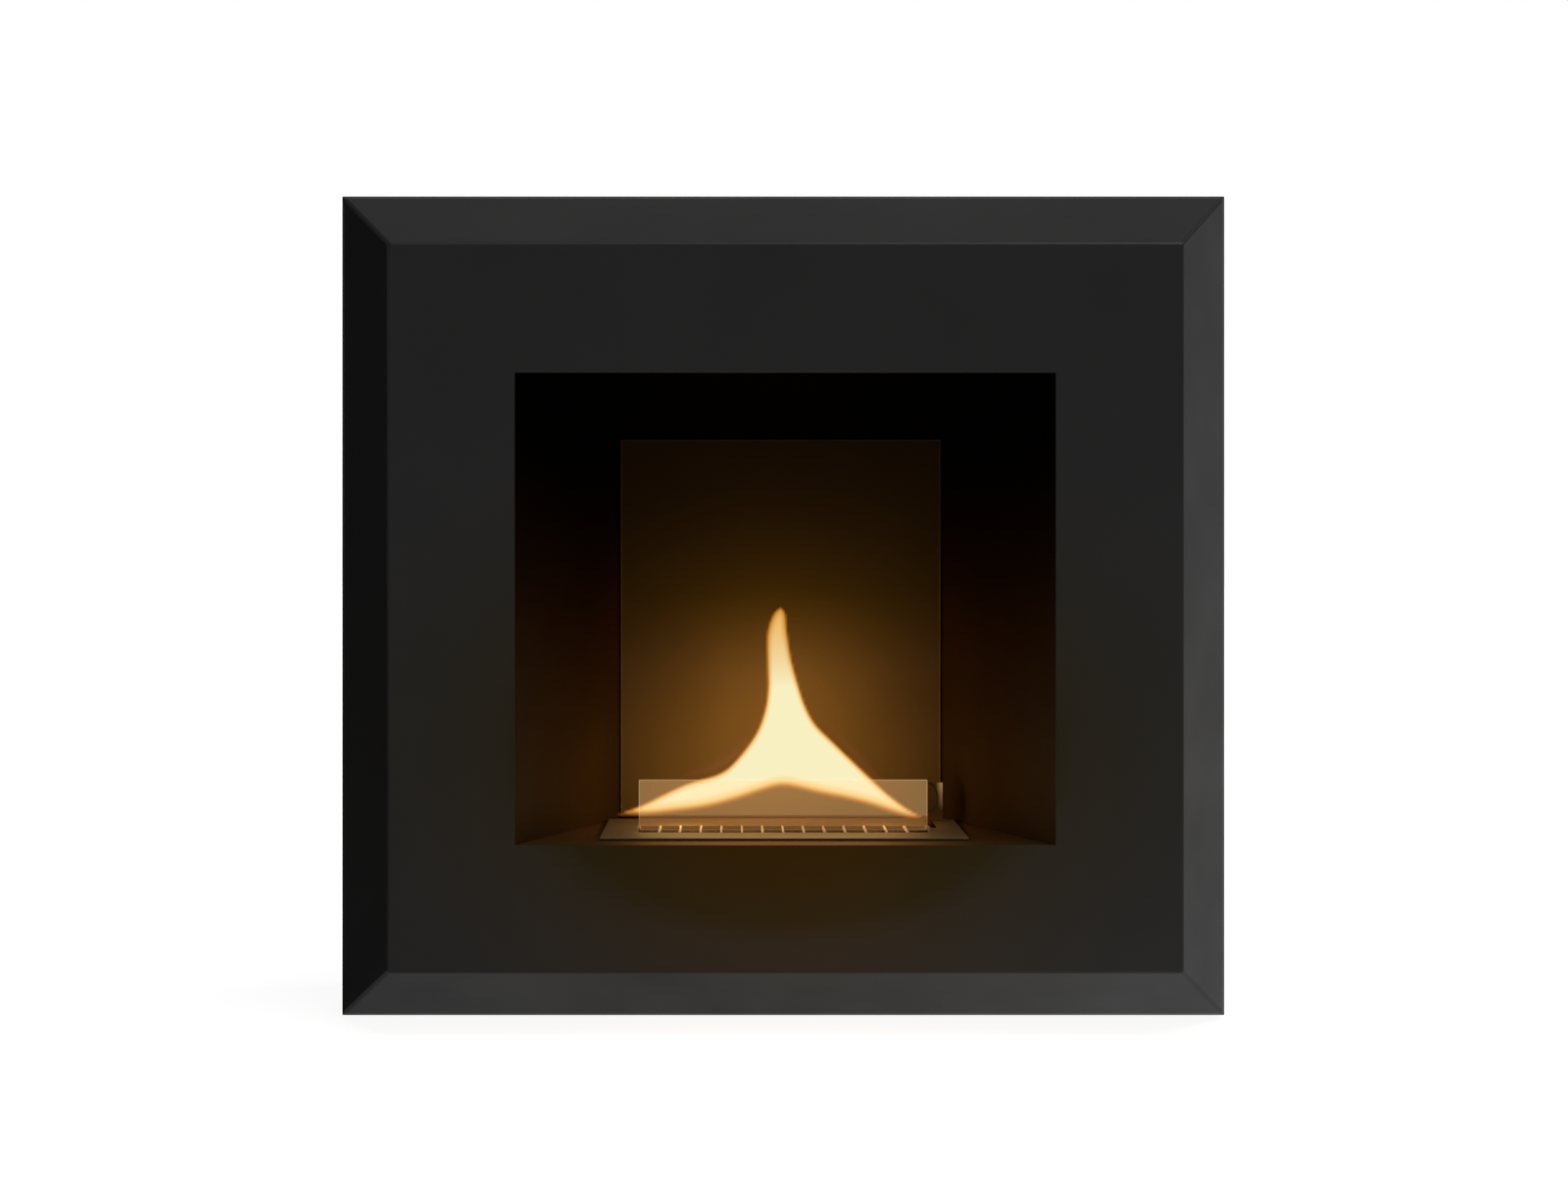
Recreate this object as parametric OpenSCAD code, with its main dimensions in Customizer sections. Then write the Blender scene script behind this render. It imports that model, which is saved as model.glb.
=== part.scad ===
// Portable bio-ethanol fireplace. A bevelled surround sits on a shallow sheet housing.
// Behind its opening is a splayed firebox with a black glass back, and in the firebox
// floor hangs a lift-out slot burner with a shutter and a low glass screen.
// Millimetres. X runs to the right of someone who faces it, Y from front to back, Z up
// from the soles of the feet. X = 0 and Y = 0 are the middle of the whole.

/* [Surround] */
// Outer width of the surround
surround_w = 700; // [640:5:900]
// Outer height of the surround
surround_h = 650; // [600:5:900]
// Width of the bevel, seen from the front
bevel_w = 44; // [30:1:60]
// Depth of the bevel, from the face to the lip
bevel_d = 72; // [40:1:90]
// Width of the narrow lip outside the bevel
lip_w = 3; // [2:0.5:6]
// Depth of the lip
lip_d = 8; // [5:0.5:14]
// Depth of the straight return behind the lip
return_d = 14; // [12:1:30]
// Sheet thickness of the surround
surround_t = 1.5; // [1:0.1:2.5]
// Outside radius of the surround's bends
bend_r = 3.5; // [3:0.1:5]
// Width of the fire opening
opening_w = 412; // [380:1:440]
// Height of the fire opening
opening_h = 360; // [330:1:400]
// Height of the flat face below the opening
border_below = 97; // [90:1:120]

/* [Housing] */
// Depth from the face to the rear screw heads
overall_d = 260; // [250:1:360]
// Sheet thickness of the housing and the rear cover
housing_t = 1.2; // [0.8:0.1:2]
// Width of the housing's front and rear flanges
housing_flange = 20; // [16:1:30]
// How far the housing reaches into the surround's returns
housing_lap = 10; // [8:1:12]
// Gap between the housing and the surround's returns
lap_gap = 0.5; // [0.2:0.1:1]
// Margin of the rear cover inside the housing's outline
cover_margin = 1; // [0.5:0.5:4]
// Radius of the screw shanks
screw_r = 2; // [1.5:0.1:2.5]
// Play round a screw shank
screw_play = 0.1; // [0.05:0.05:0.3]
// Radius of the rear screw heads
head_r = 4; // [3.5:0.1:6]
// Height of the rear screw heads
head_h = 2; // [1:0.1:3]
// Height of the surround screws above the middle and below it
side_screw_rise = 205; // [150:5:240]
// Length of the surround screws
side_screw_l = 8; // [6:1:20]

/* [Wall fixing] */
// Distance between the wall holes across
wall_span_x = 520; // [400:5:560]
// Distance between the wall holes upward
wall_span_z = 420; // [300:5:480]
// Radius of the wall holes
wall_hole_r = 4; // [3:0.5:5]
// Width of the stiffener bars
stiffener_w = 40; // [24:1:60]
// Thickness of the stiffener bars
stiffener_t = 3; // [2:0.5:5]
// Length of the stiffener bars past the wall holes
stiffener_past = 60; // [20:1:70]

/* [Vents] */
// Number of vent slots in a row
vent_count = 15; // [5:2:17]
// Distance between vent slots
vent_pitch = 24; // [16:1:26]
// Width of a vent slot
vent_w = 6; // [4:0.5:8]
// Height of a vent slot
vent_h = 40; // [20:1:50]
// Height of the vent rows from the housing's top and bottom edges
vent_inset = 75; // [60:1:90]

/* [Feet] */
// Radius of a foot
foot_r = 11; // [9:0.5:16]
// Distance of the feet from the housing's sides
foot_in_x = 60; // [30:1:120]
// Distance of the feet from the housing's front and rear
foot_in_y = 24; // [18:1:40]
// Height of the surround above the ground
ground_gap = 3; // [3:0.5:20]
// Depth of the screw head's recess in a foot
foot_recess = 2.5; // [2:0.1:3]

/* [Firebox] */
// Depth from the face to the back panel
niche_d = 200; // [180:1:205]
// Inside width of the firebox at the back panel
back_w = 273; // [265:1:300]
// How far the ceiling drops on its way to the back panel
ceiling_drop = 39; // [10:1:60]
// Sheet thickness of the firebox plates
liner_t = 1.5; // [1:0.1:2]
// Width of the firebox plates' flanges
liner_flange = 12; // [8:1:16]
// Thickness of the back panel
panel_t = 4; // [3:0.5:6]
// Gap at each side of the back panel
panel_side_gap = 2; // [1.5:0.1:4]
// Gap over the back panel
panel_top_gap = 1.5; // [1:0.1:4]
// Thickness of the pads behind the back panel
pad_t = 4; // [2:0.5:6]
// Radius of the pads
pad_r = 10; // [6:0.5:16]
// Distance of the pads from the panel's edges
pad_inset = 40; // [20:1:60]

/* [Heat shield and supports] */
// Gap between the firebox and the heat shield
shield_gap = 18; // [8:1:20]
// Thickness of the heat shield
shield_t = 1; // [0.6:0.1:1.5]
// How far the heat shield reaches past the firebox back
shield_past = 12; // [5:1:20]
// Radius of the spacers
spacer_r = 5; // [4:0.5:8]
// Distance of the spacers from the firebox back's edges
spacer_inset = 34; // [20:1:60]
// Distance of the firebox legs from the middle
leg_x = 148; // [148:1:150]
// Width of the legs' feet
leg_flange = 10; // [8:1:12]
// Length of the legs, front to back
leg_d = 80; // [40:1:84]
// Distance of the firebox ties from the middle
tie_x = 80; // [50:1:90]
// Width of the firebox ties
tie_w = 20; // [14:1:24]
// How far the ties overlap the firebox back
tie_lap = 30; // [20:1:60]

/* [Burner] */
// Width of the burner plate
plate_w = 286; // [280:1:287]
// Depth of the burner plate
plate_d = 144; // [142:1:146]
// Thickness of the burner plate
plate_t = 2; // [1.5:0.1:3]
// Distance of the burner plate behind the face
plate_set = 30; // [24:1:31]
// Width of the burner's mouth
mouth_w = 230; // [200:1:232]
// Depth of the burner's mouth
mouth_d = 50; // [40:1:51]
// Distance of the mouth behind the plate's front edge
mouth_set = 42; // [36:1:42]
// Number of cross bars in the mouth
bar_count = 13; // [7:2:19]
// Width of a cross bar
bar_w = 1.6; // [1:0.1:3]
// Height of the fuel tank
tank_h = 50; // [40:1:60]
// Depth of the fuel tank, front to back
tank_d = 96; // [90:1:98]
// Sheet thickness of the tank and the tray
tank_t = 1.2; // [0.8:0.1:1.5]
// How far the tank's walls stand outside the mouth
tank_margin = 3; // [2:0.5:4]
// Width of the tank's side flanges
tank_flange = 12; // [10:0.5:13]
// Width of the tank's front and rear flanges
tank_lip = 4; // [3:0.5:5]
// Height of the ceramic wool
wool_h = 40; // [25:1:40]
// Gap round the ceramic wool
wool_gap = 0.5; // [0.2:0.1:2]
// Gap between the burner and the cut-out in the floor
cut_gap = 3; // [2:0.5:4]
// Gap behind the open shutter in the cut-out
cut_rear_gap = 1; // [0.5:0.1:1.5]
// Gap between the cut-out and the spill tray's walls
tray_gap = 2; // [1:0.5:3]
// Width of the spill tray's flange
tray_flange = 8; // [6:1:8]
// Gap under the tank in the spill tray
tray_drop = 8; // [4:1:15]

/* [Shutter] */
// Thickness of the shutter plate
shutter_t = 1.2; // [0.8:0.1:1.5]
// How far the closed shutter laps the mouth, front and rear
shutter_lap = 0.5; // [0.5:0.1:1]
// Travel of the shutter from open to closed
shutter_travel = 48; // [40:1:48]
// Play of the shutter in its rails
shutter_play = 0.2; // [0.1:0.05:0.4]
// Height of the guide rails
rail_h = 4; // [3.5:0.1:5]
// How far a rail's lip reaches under the shutter
rail_lip = 3.5; // [2.5:0.1:4]
// Distance of the handle outside the mouth
handle_beside = 2.5; // [2:0.1:3]
// Distance of the handle's middle from the shutter's rear edge
handle_set = 15.5; // [12:0.5:18]
// Thickness of the handle
handle_t = 2; // [1.5:0.1:3]
// Width of the handle's shank
shank_w = 6; // [4:0.5:6.5]
// Play round the shank in its slot
shank_play = 0.5; // [0.3:0.1:0.8]
// Width of the handle above the plate
handle_w = 15; // [13:0.5:18]
// Height of the handle above the plate
handle_h = 32; // [30:1:40]
// Gap between the handle's shoulder and the plate
shoulder_gap = 1; // [0.5:0.1:2]
// Radius of the half-round grip
grip_r = 12.5; // [10:0.5:14]
// Thickness of the grip
grip_t = 8; // [5:0.5:10]
// Height of the grip's middle above the plate
grip_up = 20.5; // [17:0.5:22]
// How far the grip stands out beside the handle
grip_beside = 1.5; // [1:0.1:2]
// Radius of the grip screw's shank
grip_screw_r = 1.5; // [1:0.1:1.8]
// How far the grip screw goes into the grip
grip_screw_in = 5; // [3:0.5:6]
// Height of the grip screw's head
grip_head_h = 1.4; // [1:0.1:2]

/* [Glass screen] */
// Width of the pane
glass_w = 230; // [200:1:232]
// Height of the pane
glass_h = 40; // [30:1:80]
// Thickness of the pane
glass_t = 4; // [3:0.5:6]
// Distance of the pane behind the mouth's front edge
glass_set = 18; // [12:1:18]
// Play of the pane in its clips
clip_play = 0.15; // [0.1:0.05:0.3]
// Height of a clip
clip_h = 3; // [2.5:0.5:12]
// Wall of a clip
clip_t = 1.5; // [1:0.1:3]
// How far a clip reaches along the pane
clip_grip = 1.5; // [1:0.5:5]

/* [Hidden] */
$fn = 48;

// Steps in the arc of a bend
bend_steps = 5;
// Overrun of a cut past the face that it goes through
over = 1;

// Levels from front to back
y_face = -overall_d / 2;
y_lip = y_face + bevel_d;
y_rim = y_lip + lip_d;
y_return = y_rim + return_d;
y_house = y_return - housing_lap;
y_rear = overall_d / 2 - head_h;
y_cover = y_rear - housing_t;
y_liner = y_face + surround_t;
y_panel = y_face + niche_d;
y_back = y_panel + panel_t + pad_t;
y_shield = y_back + liner_t + shield_gap;

// Heights
z_mid = ground_gap + surround_h / 2;
z_open = ground_gap + lip_w + bevel_w + border_below;
z_open_top = z_open + opening_h;
z_house = ground_gap + surround_t + lap_gap;
z_house_top = ground_gap + surround_h - surround_t - lap_gap;
house_half = surround_w / 2 - surround_t - lap_gap;

// Slopes of the firebox walls and ceiling
liner_run = y_panel - y_liner;
wall_slope = (opening_w - back_w) / 2 / liner_run;
ceiling_slope = ceiling_drop / liner_run;
wall_tx = liner_t * sqrt(1 + wall_slope * wall_slope);
ceiling_tz = liner_t * sqrt(1 + ceiling_slope * ceiling_slope);
back_half = half_at(y_back) + wall_tx + liner_flange;
z_back_low = z_open - liner_t - liner_flange;
z_back_top = ceiling_at(y_back) + ceiling_tz + liner_flange;
panel_half = back_w / 2 - panel_side_gap;
z_panel_top = ceiling_at(y_panel + panel_t) - panel_top_gap;

// Burner
y_plate = y_face + plate_set;
z_plate = z_open + plate_t;
y_mouth = y_plate + mouth_set;
y_glass = y_mouth + glass_set;
bar_pitch = mouth_w / (bar_count + 1);
z_rail = z_open - rail_h;
z_tank = z_rail - tank_h;
tank_half = mouth_w / 2 + tank_margin;
tank_flange_half = tank_half + tank_flange;
y_tank = y_mouth - tank_margin - tank_t;
shutter_d = mouth_d + 2 * shutter_lap;
y_shutter = y_mouth - shutter_lap + shutter_travel;
z_shutter = z_rail + tank_t + shutter_play;
handle_x = mouth_w / 2 + handle_beside;
y_handle = y_shutter + shutter_d - handle_set;
shutter_half = handle_x + shank_w + 1;
rail_x = shutter_half + shutter_play;
z_grip = z_plate + grip_up;
grip_screw_x = handle_x + grip_r / 3;
cut_half = tank_flange_half + cut_gap;
y_cut = y_tank - tank_lip - cut_gap;
y_cut_rear = y_shutter + shutter_d + cut_rear_gap;
tray_half = cut_half + tray_gap;
y_tray = y_cut - tray_gap;
y_tray_rear = y_cut_rear + tray_gap;
z_tray = z_tank - tray_drop - tank_t;
clip_half_y = glass_t / 2 + clip_play + clip_t;

// Colours
coat = [0.13, 0.13, 0.13];
dark_coat = [0.08, 0.08, 0.08];
zinc = [0.62, 0.64, 0.66];
steel = [0.72, 0.7, 0.66];
black_glass = [0.03, 0.03, 0.03];
rubber = [0.05, 0.05, 0.05];

// Inner half width of the firebox and height of its ceiling at a depth y
function half_at(y) = opening_w / 2 - wall_slope * (y - y_liner);
function ceiling_at(y) = z_open_top - ceiling_slope * (y - y_liner);

function unit(v) = v / norm(v);
function left_of(v) = [-v.y, v.x];

// Corner p of an anticlockwise outline, between a and b, moved inward by t
function inset_corner(a, p, b, t) =
    let (n1 = left_of(unit(p - a)), n2 = left_of(unit(b - p)))
    p + t * (n1 + n2) / (1 + n1 * n2);

// Corner p between a and b, rounded to radius r
function round_corner(a, p, b, r) =
    let (
        to_a = unit(a - p),
        to_b = unit(b - p),
        half = acos(to_a * to_b) / 2,
        centre = p + unit(to_a + to_b) * r / sin(half),
        start = p + to_a * r / tan(half) - centre,
        end = p + to_b * r / tan(half) - centre,
        turn = 180 - 2 * half
    )
    [for (k = [0:bend_steps]) centre
        + (start * sin(turn * (1 - k / bend_steps)) + end * sin(turn * k / bend_steps)) / sin(turn)];

// Section of the surround as a solid block, half its width or height, moved inward by t.
// The first and last corners are the face's bends, and the back edge stays square.
function section(half, back, t) =
    let (
        face = half - lip_w - bevel_w,
        raw = [
            [-face, y_face], [face, y_face], [half - lip_w, y_lip], [half, y_rim],
            [half, back], [-half, back], [-half, y_rim], [lip_w - half, y_lip]
        ],
        n = len(raw),
        corners = [for (i = [0:n - 1])
            inset_corner(raw[(i + n - 1) % n], raw[i], raw[(i + 1) % n], t)],
        square = [4, 5]
    )
    [for (i = [0:n - 1])
        each (i == square[0] || i == square[1]
            ? [corners[i]]
            : round_corner(corners[(i + n - 1) % n], corners[i], corners[(i + 1) % n], bend_r - t))];

// Block with mitred bevels on four sides: an upright prism and a lying one, intersected
module bevelled_block(back, t) {
    intersection() {
        translate([0, 0, z_mid])
            linear_extrude(surround_h + 2 * over, center = true)
                polygon(section(surround_w / 2, back, t));
        translate([0, 0, z_mid])
            rotate([0, -90, 0])
                linear_extrude(surround_w + 2 * over, center = true)
                    polygon(section(surround_h / 2, back, t));
    }
}

// Box from one corner to the opposite one
module box(low, high) {
    translate(low)
        cube(high - low);
}

// Cylinder along Y from y to y + length
module rod_y(x, y, z, r, length) {
    translate([x, y, z])
        rotate([-90, 0, 0])
            cylinder(r = r, h = length);
}

// Profile in Y and Z, run along X between -half and half
module run_x(half, points) {
    translate([-half, 0, 0])
        rotate([90, 0, 90])
            linear_extrude(2 * half)
                polygon(points);
}

// Places of the four wall holes, and of the screws round the rear cover
wall_holes = [for (x = [-1, 1], z = [-1, 1]) [x * wall_span_x / 2, z_mid + z * wall_span_z / 2]];
flange_mid = housing_t + housing_flange / 2;
edge_x = house_half - flange_mid;
z_edges = [z_house + flange_mid, z_mid, z_house_top - flange_mid];
cover_screws = concat(
    [for (x = [-1, 1], z = z_edges) [x * edge_x, z]],
    [[0, z_edges[0]], [0, z_edges[2]]]
);

module at_side_screws() {
    for (side = [-1, 1], z = [-1, 1])
        translate([side * surround_w / 2, y_return - housing_lap / 2, z_mid + z * side_screw_rise])
            rotate([0, -90 * side, 0])
                children();
}

module front_surround() {
    color(coat)
        difference() {
            bevelled_block(y_return, 0);
            bevelled_block(y_return + surround_t + over, surround_t);
            box([-opening_w / 2, y_face - over, z_open], [opening_w / 2, y_liner + over, z_open_top]);
            at_side_screws() {
                cylinder(r1 = 2 * screw_r, r2 = screw_r + screw_play, h = surround_t);
                translate([0, 0, -over])
                    cylinder(r = screw_r + screw_play, h = surround_t + 2 * over);
            }
        }
}

module surround_screws() {
    color(coat)
        at_side_screws() {
            cylinder(r1 = 2 * screw_r - screw_play, r2 = screw_r, h = surround_t);
            cylinder(r = screw_r, h = side_screw_l);
        }
}

module housing_shell() {
    inner_half = house_half - housing_t;
    window_half = inner_half - housing_flange;
    color(coat)
        difference() {
            box([-house_half, y_house, z_house], [house_half, y_cover, z_house_top]);
            box([-inner_half, y_house + housing_t, z_house + housing_t],
                [inner_half, y_cover - housing_t, z_house_top - housing_t]);
            box([-window_half, y_house - over, z_house + housing_t + housing_flange],
                [window_half, y_cover + over, z_house_top - housing_t - housing_flange]);
            at_side_screws()
                cylinder(r = screw_r + screw_play, h = side_screw_l);
            for (p = cover_screws)
                rod_y(p.x, y_cover - housing_t - over, p.y, screw_r + screw_play, housing_t + 2 * over);
            at_feet()
                cylinder(r = screw_r + screw_play, h = z_house + housing_t + over);
        }
}

// Upright slot with round ends, cut through the rear cover
module vent(x, z) {
    rise = (vent_h - vent_w) / 2;
    box([x - vent_w / 2, y_cover - over, z - rise], [x + vent_w / 2, y_rear + over, z + rise]);
    for (end = [-1, 1])
        rod_y(x, y_cover - over, z + end * rise, vent_w / 2, housing_t + 2 * over);
}

module rear_cover() {
    half = house_half - cover_margin;
    vent_rows = [z_house + vent_inset, z_house_top - vent_inset];
    color(coat)
        difference() {
            box([-half, y_cover, z_house + cover_margin], [half, y_rear, z_house_top - cover_margin]);
            for (z = vent_rows, i = [0:vent_count - 1])
                vent((i - (vent_count - 1) / 2) * vent_pitch, z);
            for (p = wall_holes)
                rod_y(p.x, y_cover - over, p.y, wall_hole_r, housing_t + 2 * over);
            for (p = cover_screws)
                rod_y(p.x, y_cover - over, p.y, screw_r + screw_play, housing_t + 2 * over);
        }
}

module rear_cover_screws() {
    color(zinc)
        for (p = cover_screws) {
            rod_y(p.x, y_rear, p.y, head_r, head_h);
            rod_y(p.x, y_cover - 3 * housing_t, p.y, screw_r, 4 * housing_t + head_h / 2);
        }
}

module rear_stiffeners() {
    color(zinc)
        for (side = [-1, 1])
            difference() {
                box([side * wall_span_x / 2 - stiffener_w / 2, y_cover - stiffener_t,
                    z_mid - wall_span_z / 2 - stiffener_past],
                    [side * wall_span_x / 2 + stiffener_w / 2, y_cover,
                    z_mid + wall_span_z / 2 + stiffener_past]);
                for (p = wall_holes)
                    rod_y(p.x, y_cover - stiffener_t - over, p.y, wall_hole_r, stiffener_t + 2 * over);
            }
}

module at_feet() {
    for (side = [-1, 1], y = [y_house + foot_in_y, y_cover - foot_in_y])
        translate([side * (house_half - foot_in_x), y, 0])
            children();
}

module feet() {
    color(rubber)
        at_feet()
            difference() {
                cylinder(r = foot_r, h = z_house);
                translate([0, 0, -over])
                    cylinder(r = head_r + screw_play, h = foot_recess + over);
                cylinder(r = screw_r + screw_play, h = z_house + over);
            }
}

module foot_screws() {
    color(zinc)
        at_feet() {
            translate([0, 0, foot_recess / 2])
                cylinder(r = head_r, h = foot_recess / 2);
            translate([0, 0, foot_recess / 2])
                cylinder(r = screw_r, h = z_house - foot_recess / 2 + 3 * housing_t);
        }
}

// Space above the firebox ceiling, from its underside up
module above_ceiling() {
    y0 = y_liner - over;
    y1 = y_back + over;
    top = z_open_top + opening_h;
    run_x(surround_w / 2, [[y0, ceiling_at(y0)], [y1, ceiling_at(y1)], [y1, top], [y0, top]]);
}

// Side plate of the firebox on the right, with a flange at its front and rear edges
module right_wall() {
    front_out = half_at(y_liner) + wall_tx + liner_flange;
    rear_out = half_at(y_back) + wall_tx + liner_flange;
    difference() {
        translate([0, 0, z_open])
            linear_extrude(opening_h)
                polygon([
                    [half_at(y_liner), y_liner],
                    [front_out, y_liner],
                    [front_out, y_liner + liner_t],
                    [half_at(y_liner + liner_t) + wall_tx, y_liner + liner_t],
                    [half_at(y_back - liner_t) + wall_tx, y_back - liner_t],
                    [rear_out, y_back - liner_t],
                    [rear_out, y_back],
                    [half_at(y_back), y_back]
                ]);
        above_ceiling();
    }
}

module firebox_right_wall() {
    color(dark_coat)
        right_wall();
}

module firebox_left_wall() {
    color(dark_coat)
        mirror([1, 0, 0])
            right_wall();
}

// Plan of the firebox out to its flanges, from z low to z high
module firebox_plan(low, high) {
    out = wall_tx + liner_flange;
    front = half_at(y_liner) + out;
    rear = half_at(y_back) + out;
    translate([0, 0, low])
        linear_extrude(high - low)
            polygon([[-front, y_liner], [front, y_liner], [rear, y_back], [-rear, y_back]]);
}

module firebox_ceiling() {
    front = ceiling_at(y_liner);
    rear = ceiling_at(y_back);
    rise = ceiling_tz + liner_flange;
    color(dark_coat)
        intersection() {
            firebox_plan(z_open, z_open_top + rise + over);
            run_x(surround_w / 2, [
                [y_liner, front],
                [y_back, rear],
                [y_back, rear + rise],
                [y_back - liner_t, rear + rise],
                [y_back - liner_t, ceiling_at(y_back - liner_t) + ceiling_tz],
                [y_liner + liner_t, ceiling_at(y_liner + liner_t) + ceiling_tz],
                [y_liner + liner_t, front + rise],
                [y_liner, front + rise]
            ]);
        }
}

module firebox_floor() {
    low = z_open - liner_t - liner_flange;
    color(dark_coat)
        difference() {
            firebox_plan(low, z_open);
            box([-surround_w / 2, y_liner + liner_t, low - over],
                [surround_w / 2, y_back - liner_t, z_open - liner_t]);
            box([-cut_half, y_cut, z_open - liner_t - over], [cut_half, y_cut_rear, z_open + over]);
        }
}

module firebox_back() {
    color(dark_coat)
        box([-back_half, y_back, z_back_low], [back_half, y_back + liner_t, z_back_top]);
}

module back_panel() {
    color(black_glass)
        box([-panel_half, y_panel, z_open], [panel_half, y_panel + panel_t, z_panel_top]);
}

module panel_pads() {
    color(rubber)
        for (side = [-1, 1], z = [z_open + pad_inset, z_panel_top - pad_inset])
            rod_y(side * (panel_half - pad_inset), y_panel + panel_t, z, pad_r, pad_t);
}

module heat_shield() {
    color(zinc)
        box([-back_half - shield_past, y_shield, z_back_low - shield_past],
            [back_half + shield_past, y_shield + shield_t, z_back_top + shield_past]);
}

module shield_spacers() {
    color(zinc)
        for (side = [-1, 1], z = [z_back_low + spacer_inset, z_back_top - spacer_inset])
            rod_y(side * (back_half - spacer_inset), y_back + liner_t, z, spacer_r, shield_gap);
}

// Channel between the housing's bottom and the firebox floor
module firebox_legs() {
    low = z_house + housing_t;
    high = z_open - liner_t;
    y0 = y_house + housing_t;
    color(zinc)
        for (side = [0, 1])
            mirror([side, 0, 0])
                difference() {
                    box([leg_x, y0, low], [leg_x + leg_flange, y0 + leg_d, high]);
                    box([leg_x + liner_t, y0 - over, low + liner_t],
                        [leg_x + leg_flange + over, y0 + leg_d + over, high - liner_t]);
                }
}

// Angle between the firebox back and the housing's top
module firebox_ties() {
    y0 = y_back + liner_t;
    high = z_house_top - housing_t;
    color(zinc)
        for (side = [-1, 1]) {
            x0 = side * tie_x - tie_w / 2;
            box([x0, y0, z_back_top - tie_lap], [x0 + tie_w, y0 + liner_t, high]);
            box([x0, y0, high - liner_t], [x0 + tie_w, y0 + tie_w, high]);
        }
}

// Open tray with a flange round its top
module spill_tray() {
    top = z_open - liner_t;
    wall = tank_t + tray_flange;
    color(zinc)
        difference() {
            union() {
                box([-tray_half - tank_t, y_tray - tank_t, z_tray],
                    [tray_half + tank_t, y_tray_rear + tank_t, top]);
                box([-tray_half - wall, y_tray - wall, top - tank_t],
                    [tray_half + wall, y_tray_rear + wall, top]);
            }
            box([-tray_half, y_tray, z_tray + tank_t], [tray_half, y_tray_rear, top + over]);
        }
}

module burner_plate() {
    slot_half = handle_t / 2 + shank_play;
    color(steel)
        difference() {
            box([-plate_w / 2, y_plate, z_open], [plate_w / 2, y_plate + plate_d, z_plate]);
            box([-mouth_w / 2, y_mouth, z_open - over], [mouth_w / 2, y_mouth + mouth_d, z_plate + over]);
            box([handle_x - shank_play, y_handle - shutter_travel - slot_half, z_open - over],
                [handle_x + shank_w + shank_play, y_handle + slot_half, z_plate + over]);
        }
}

module burner_bars() {
    color(steel)
        for (i = [1:bar_count]) {
            x = -mouth_w / 2 + i * bar_pitch;
            box([x - bar_w / 2, y_mouth, z_open], [x + bar_w / 2, y_mouth + mouth_d, z_plate]);
        }
}

// Tank with side flanges under the rails, and a lip that closes its front under the plate
module burner_tank() {
    y_end = y_tank + tank_d;
    lip_half = rail_x + tank_t;
    color(steel)
        difference() {
            union() {
                box([-tank_half, y_tank, z_tank], [tank_half, y_end, z_rail]);
                box([-tank_flange_half, y_tank - tank_lip, z_rail - tank_t],
                    [tank_flange_half, y_end + tank_lip, z_rail]);
                box([-lip_half, y_tank - tank_lip, z_rail], [lip_half, y_tank - tank_lip + tank_t, z_open]);
            }
            box([-tank_half + tank_t, y_tank + tank_t, z_tank + tank_t],
                [tank_half - tank_t, y_end - tank_t, z_rail + over]);
        }
}

module ceramic_wool() {
    gap = tank_t + wool_gap;
    color("ivory")
        box([-tank_half + gap, y_tank + gap, z_tank + tank_t],
            [tank_half - gap, y_tank + tank_d - gap, z_tank + tank_t + wool_h]);
}

// Rail of angle section: a web under the plate and a lip under the shutter
module shutter_rails() {
    y0 = y_tank - tank_lip + tank_t;
    y1 = y_tank + tank_d + tank_lip;
    color(steel)
        for (side = [0, 1])
            mirror([side, 0, 0]) {
                box([rail_x, y0, z_rail], [rail_x + tank_t, y1, z_open]);
                box([rail_x - rail_lip, y0, z_rail], [rail_x + tank_t, y1, z_rail + tank_t]);
            }
}

module shutter_plate() {
    color(steel)
        box([-shutter_half, y_shutter, z_shutter],
            [shutter_half, y_shutter + shutter_d, z_shutter + shutter_t]);
}

// Upright handle of flat bar: a shank through the plate's slot and a wider head above it
module shutter_handle() {
    y0 = y_handle - handle_t / 2;
    y1 = y_handle + handle_t / 2;
    low = z_shutter + shutter_t;
    shoulder = z_plate + shoulder_gap;
    color(steel)
        difference() {
            union() {
                box([handle_x, y0, low], [handle_x + shank_w, y1, z_plate + handle_h]);
                box([handle_x, y0, shoulder], [handle_x + handle_w, y1, z_plate + handle_h]);
            }
            rod_y(grip_screw_x, y0 - over, z_grip, grip_screw_r + screw_play, handle_t + 2 * over);
        }
}

// Half-round grip in front of the handle, with its flat side towards the mouth
module shutter_grip() {
    x0 = handle_x - grip_beside;
    y0 = y_handle - handle_t / 2 - grip_t;
    bore = grip_screw_in + screw_play;
    color(rubber)
        difference() {
            rod_y(x0, y0, z_grip, grip_r, grip_t);
            box([x0 - grip_r - over, y0 - over, z_grip - grip_r - over],
                [x0, y0 + grip_t + over, z_grip + grip_r + over]);
            rod_y(grip_screw_x, y0 + grip_t - bore, z_grip, grip_screw_r + screw_play, bore + over);
        }
}

module grip_screw() {
    y1 = y_handle + handle_t / 2;
    color(zinc) {
        rod_y(grip_screw_x, y1, z_grip, 2 * grip_screw_r, grip_head_h);
        rod_y(grip_screw_x, y1 - handle_t - grip_screw_in, z_grip, grip_screw_r,
            handle_t + grip_screw_in + grip_head_h / 2);
    }
}

module screen_glass() {
    color([0.8, 0.85, 0.82, 0.35])
        box([-glass_w / 2, y_glass - glass_t / 2, z_plate],
            [glass_w / 2, y_glass + glass_t / 2, z_plate + glass_h]);
}

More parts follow.
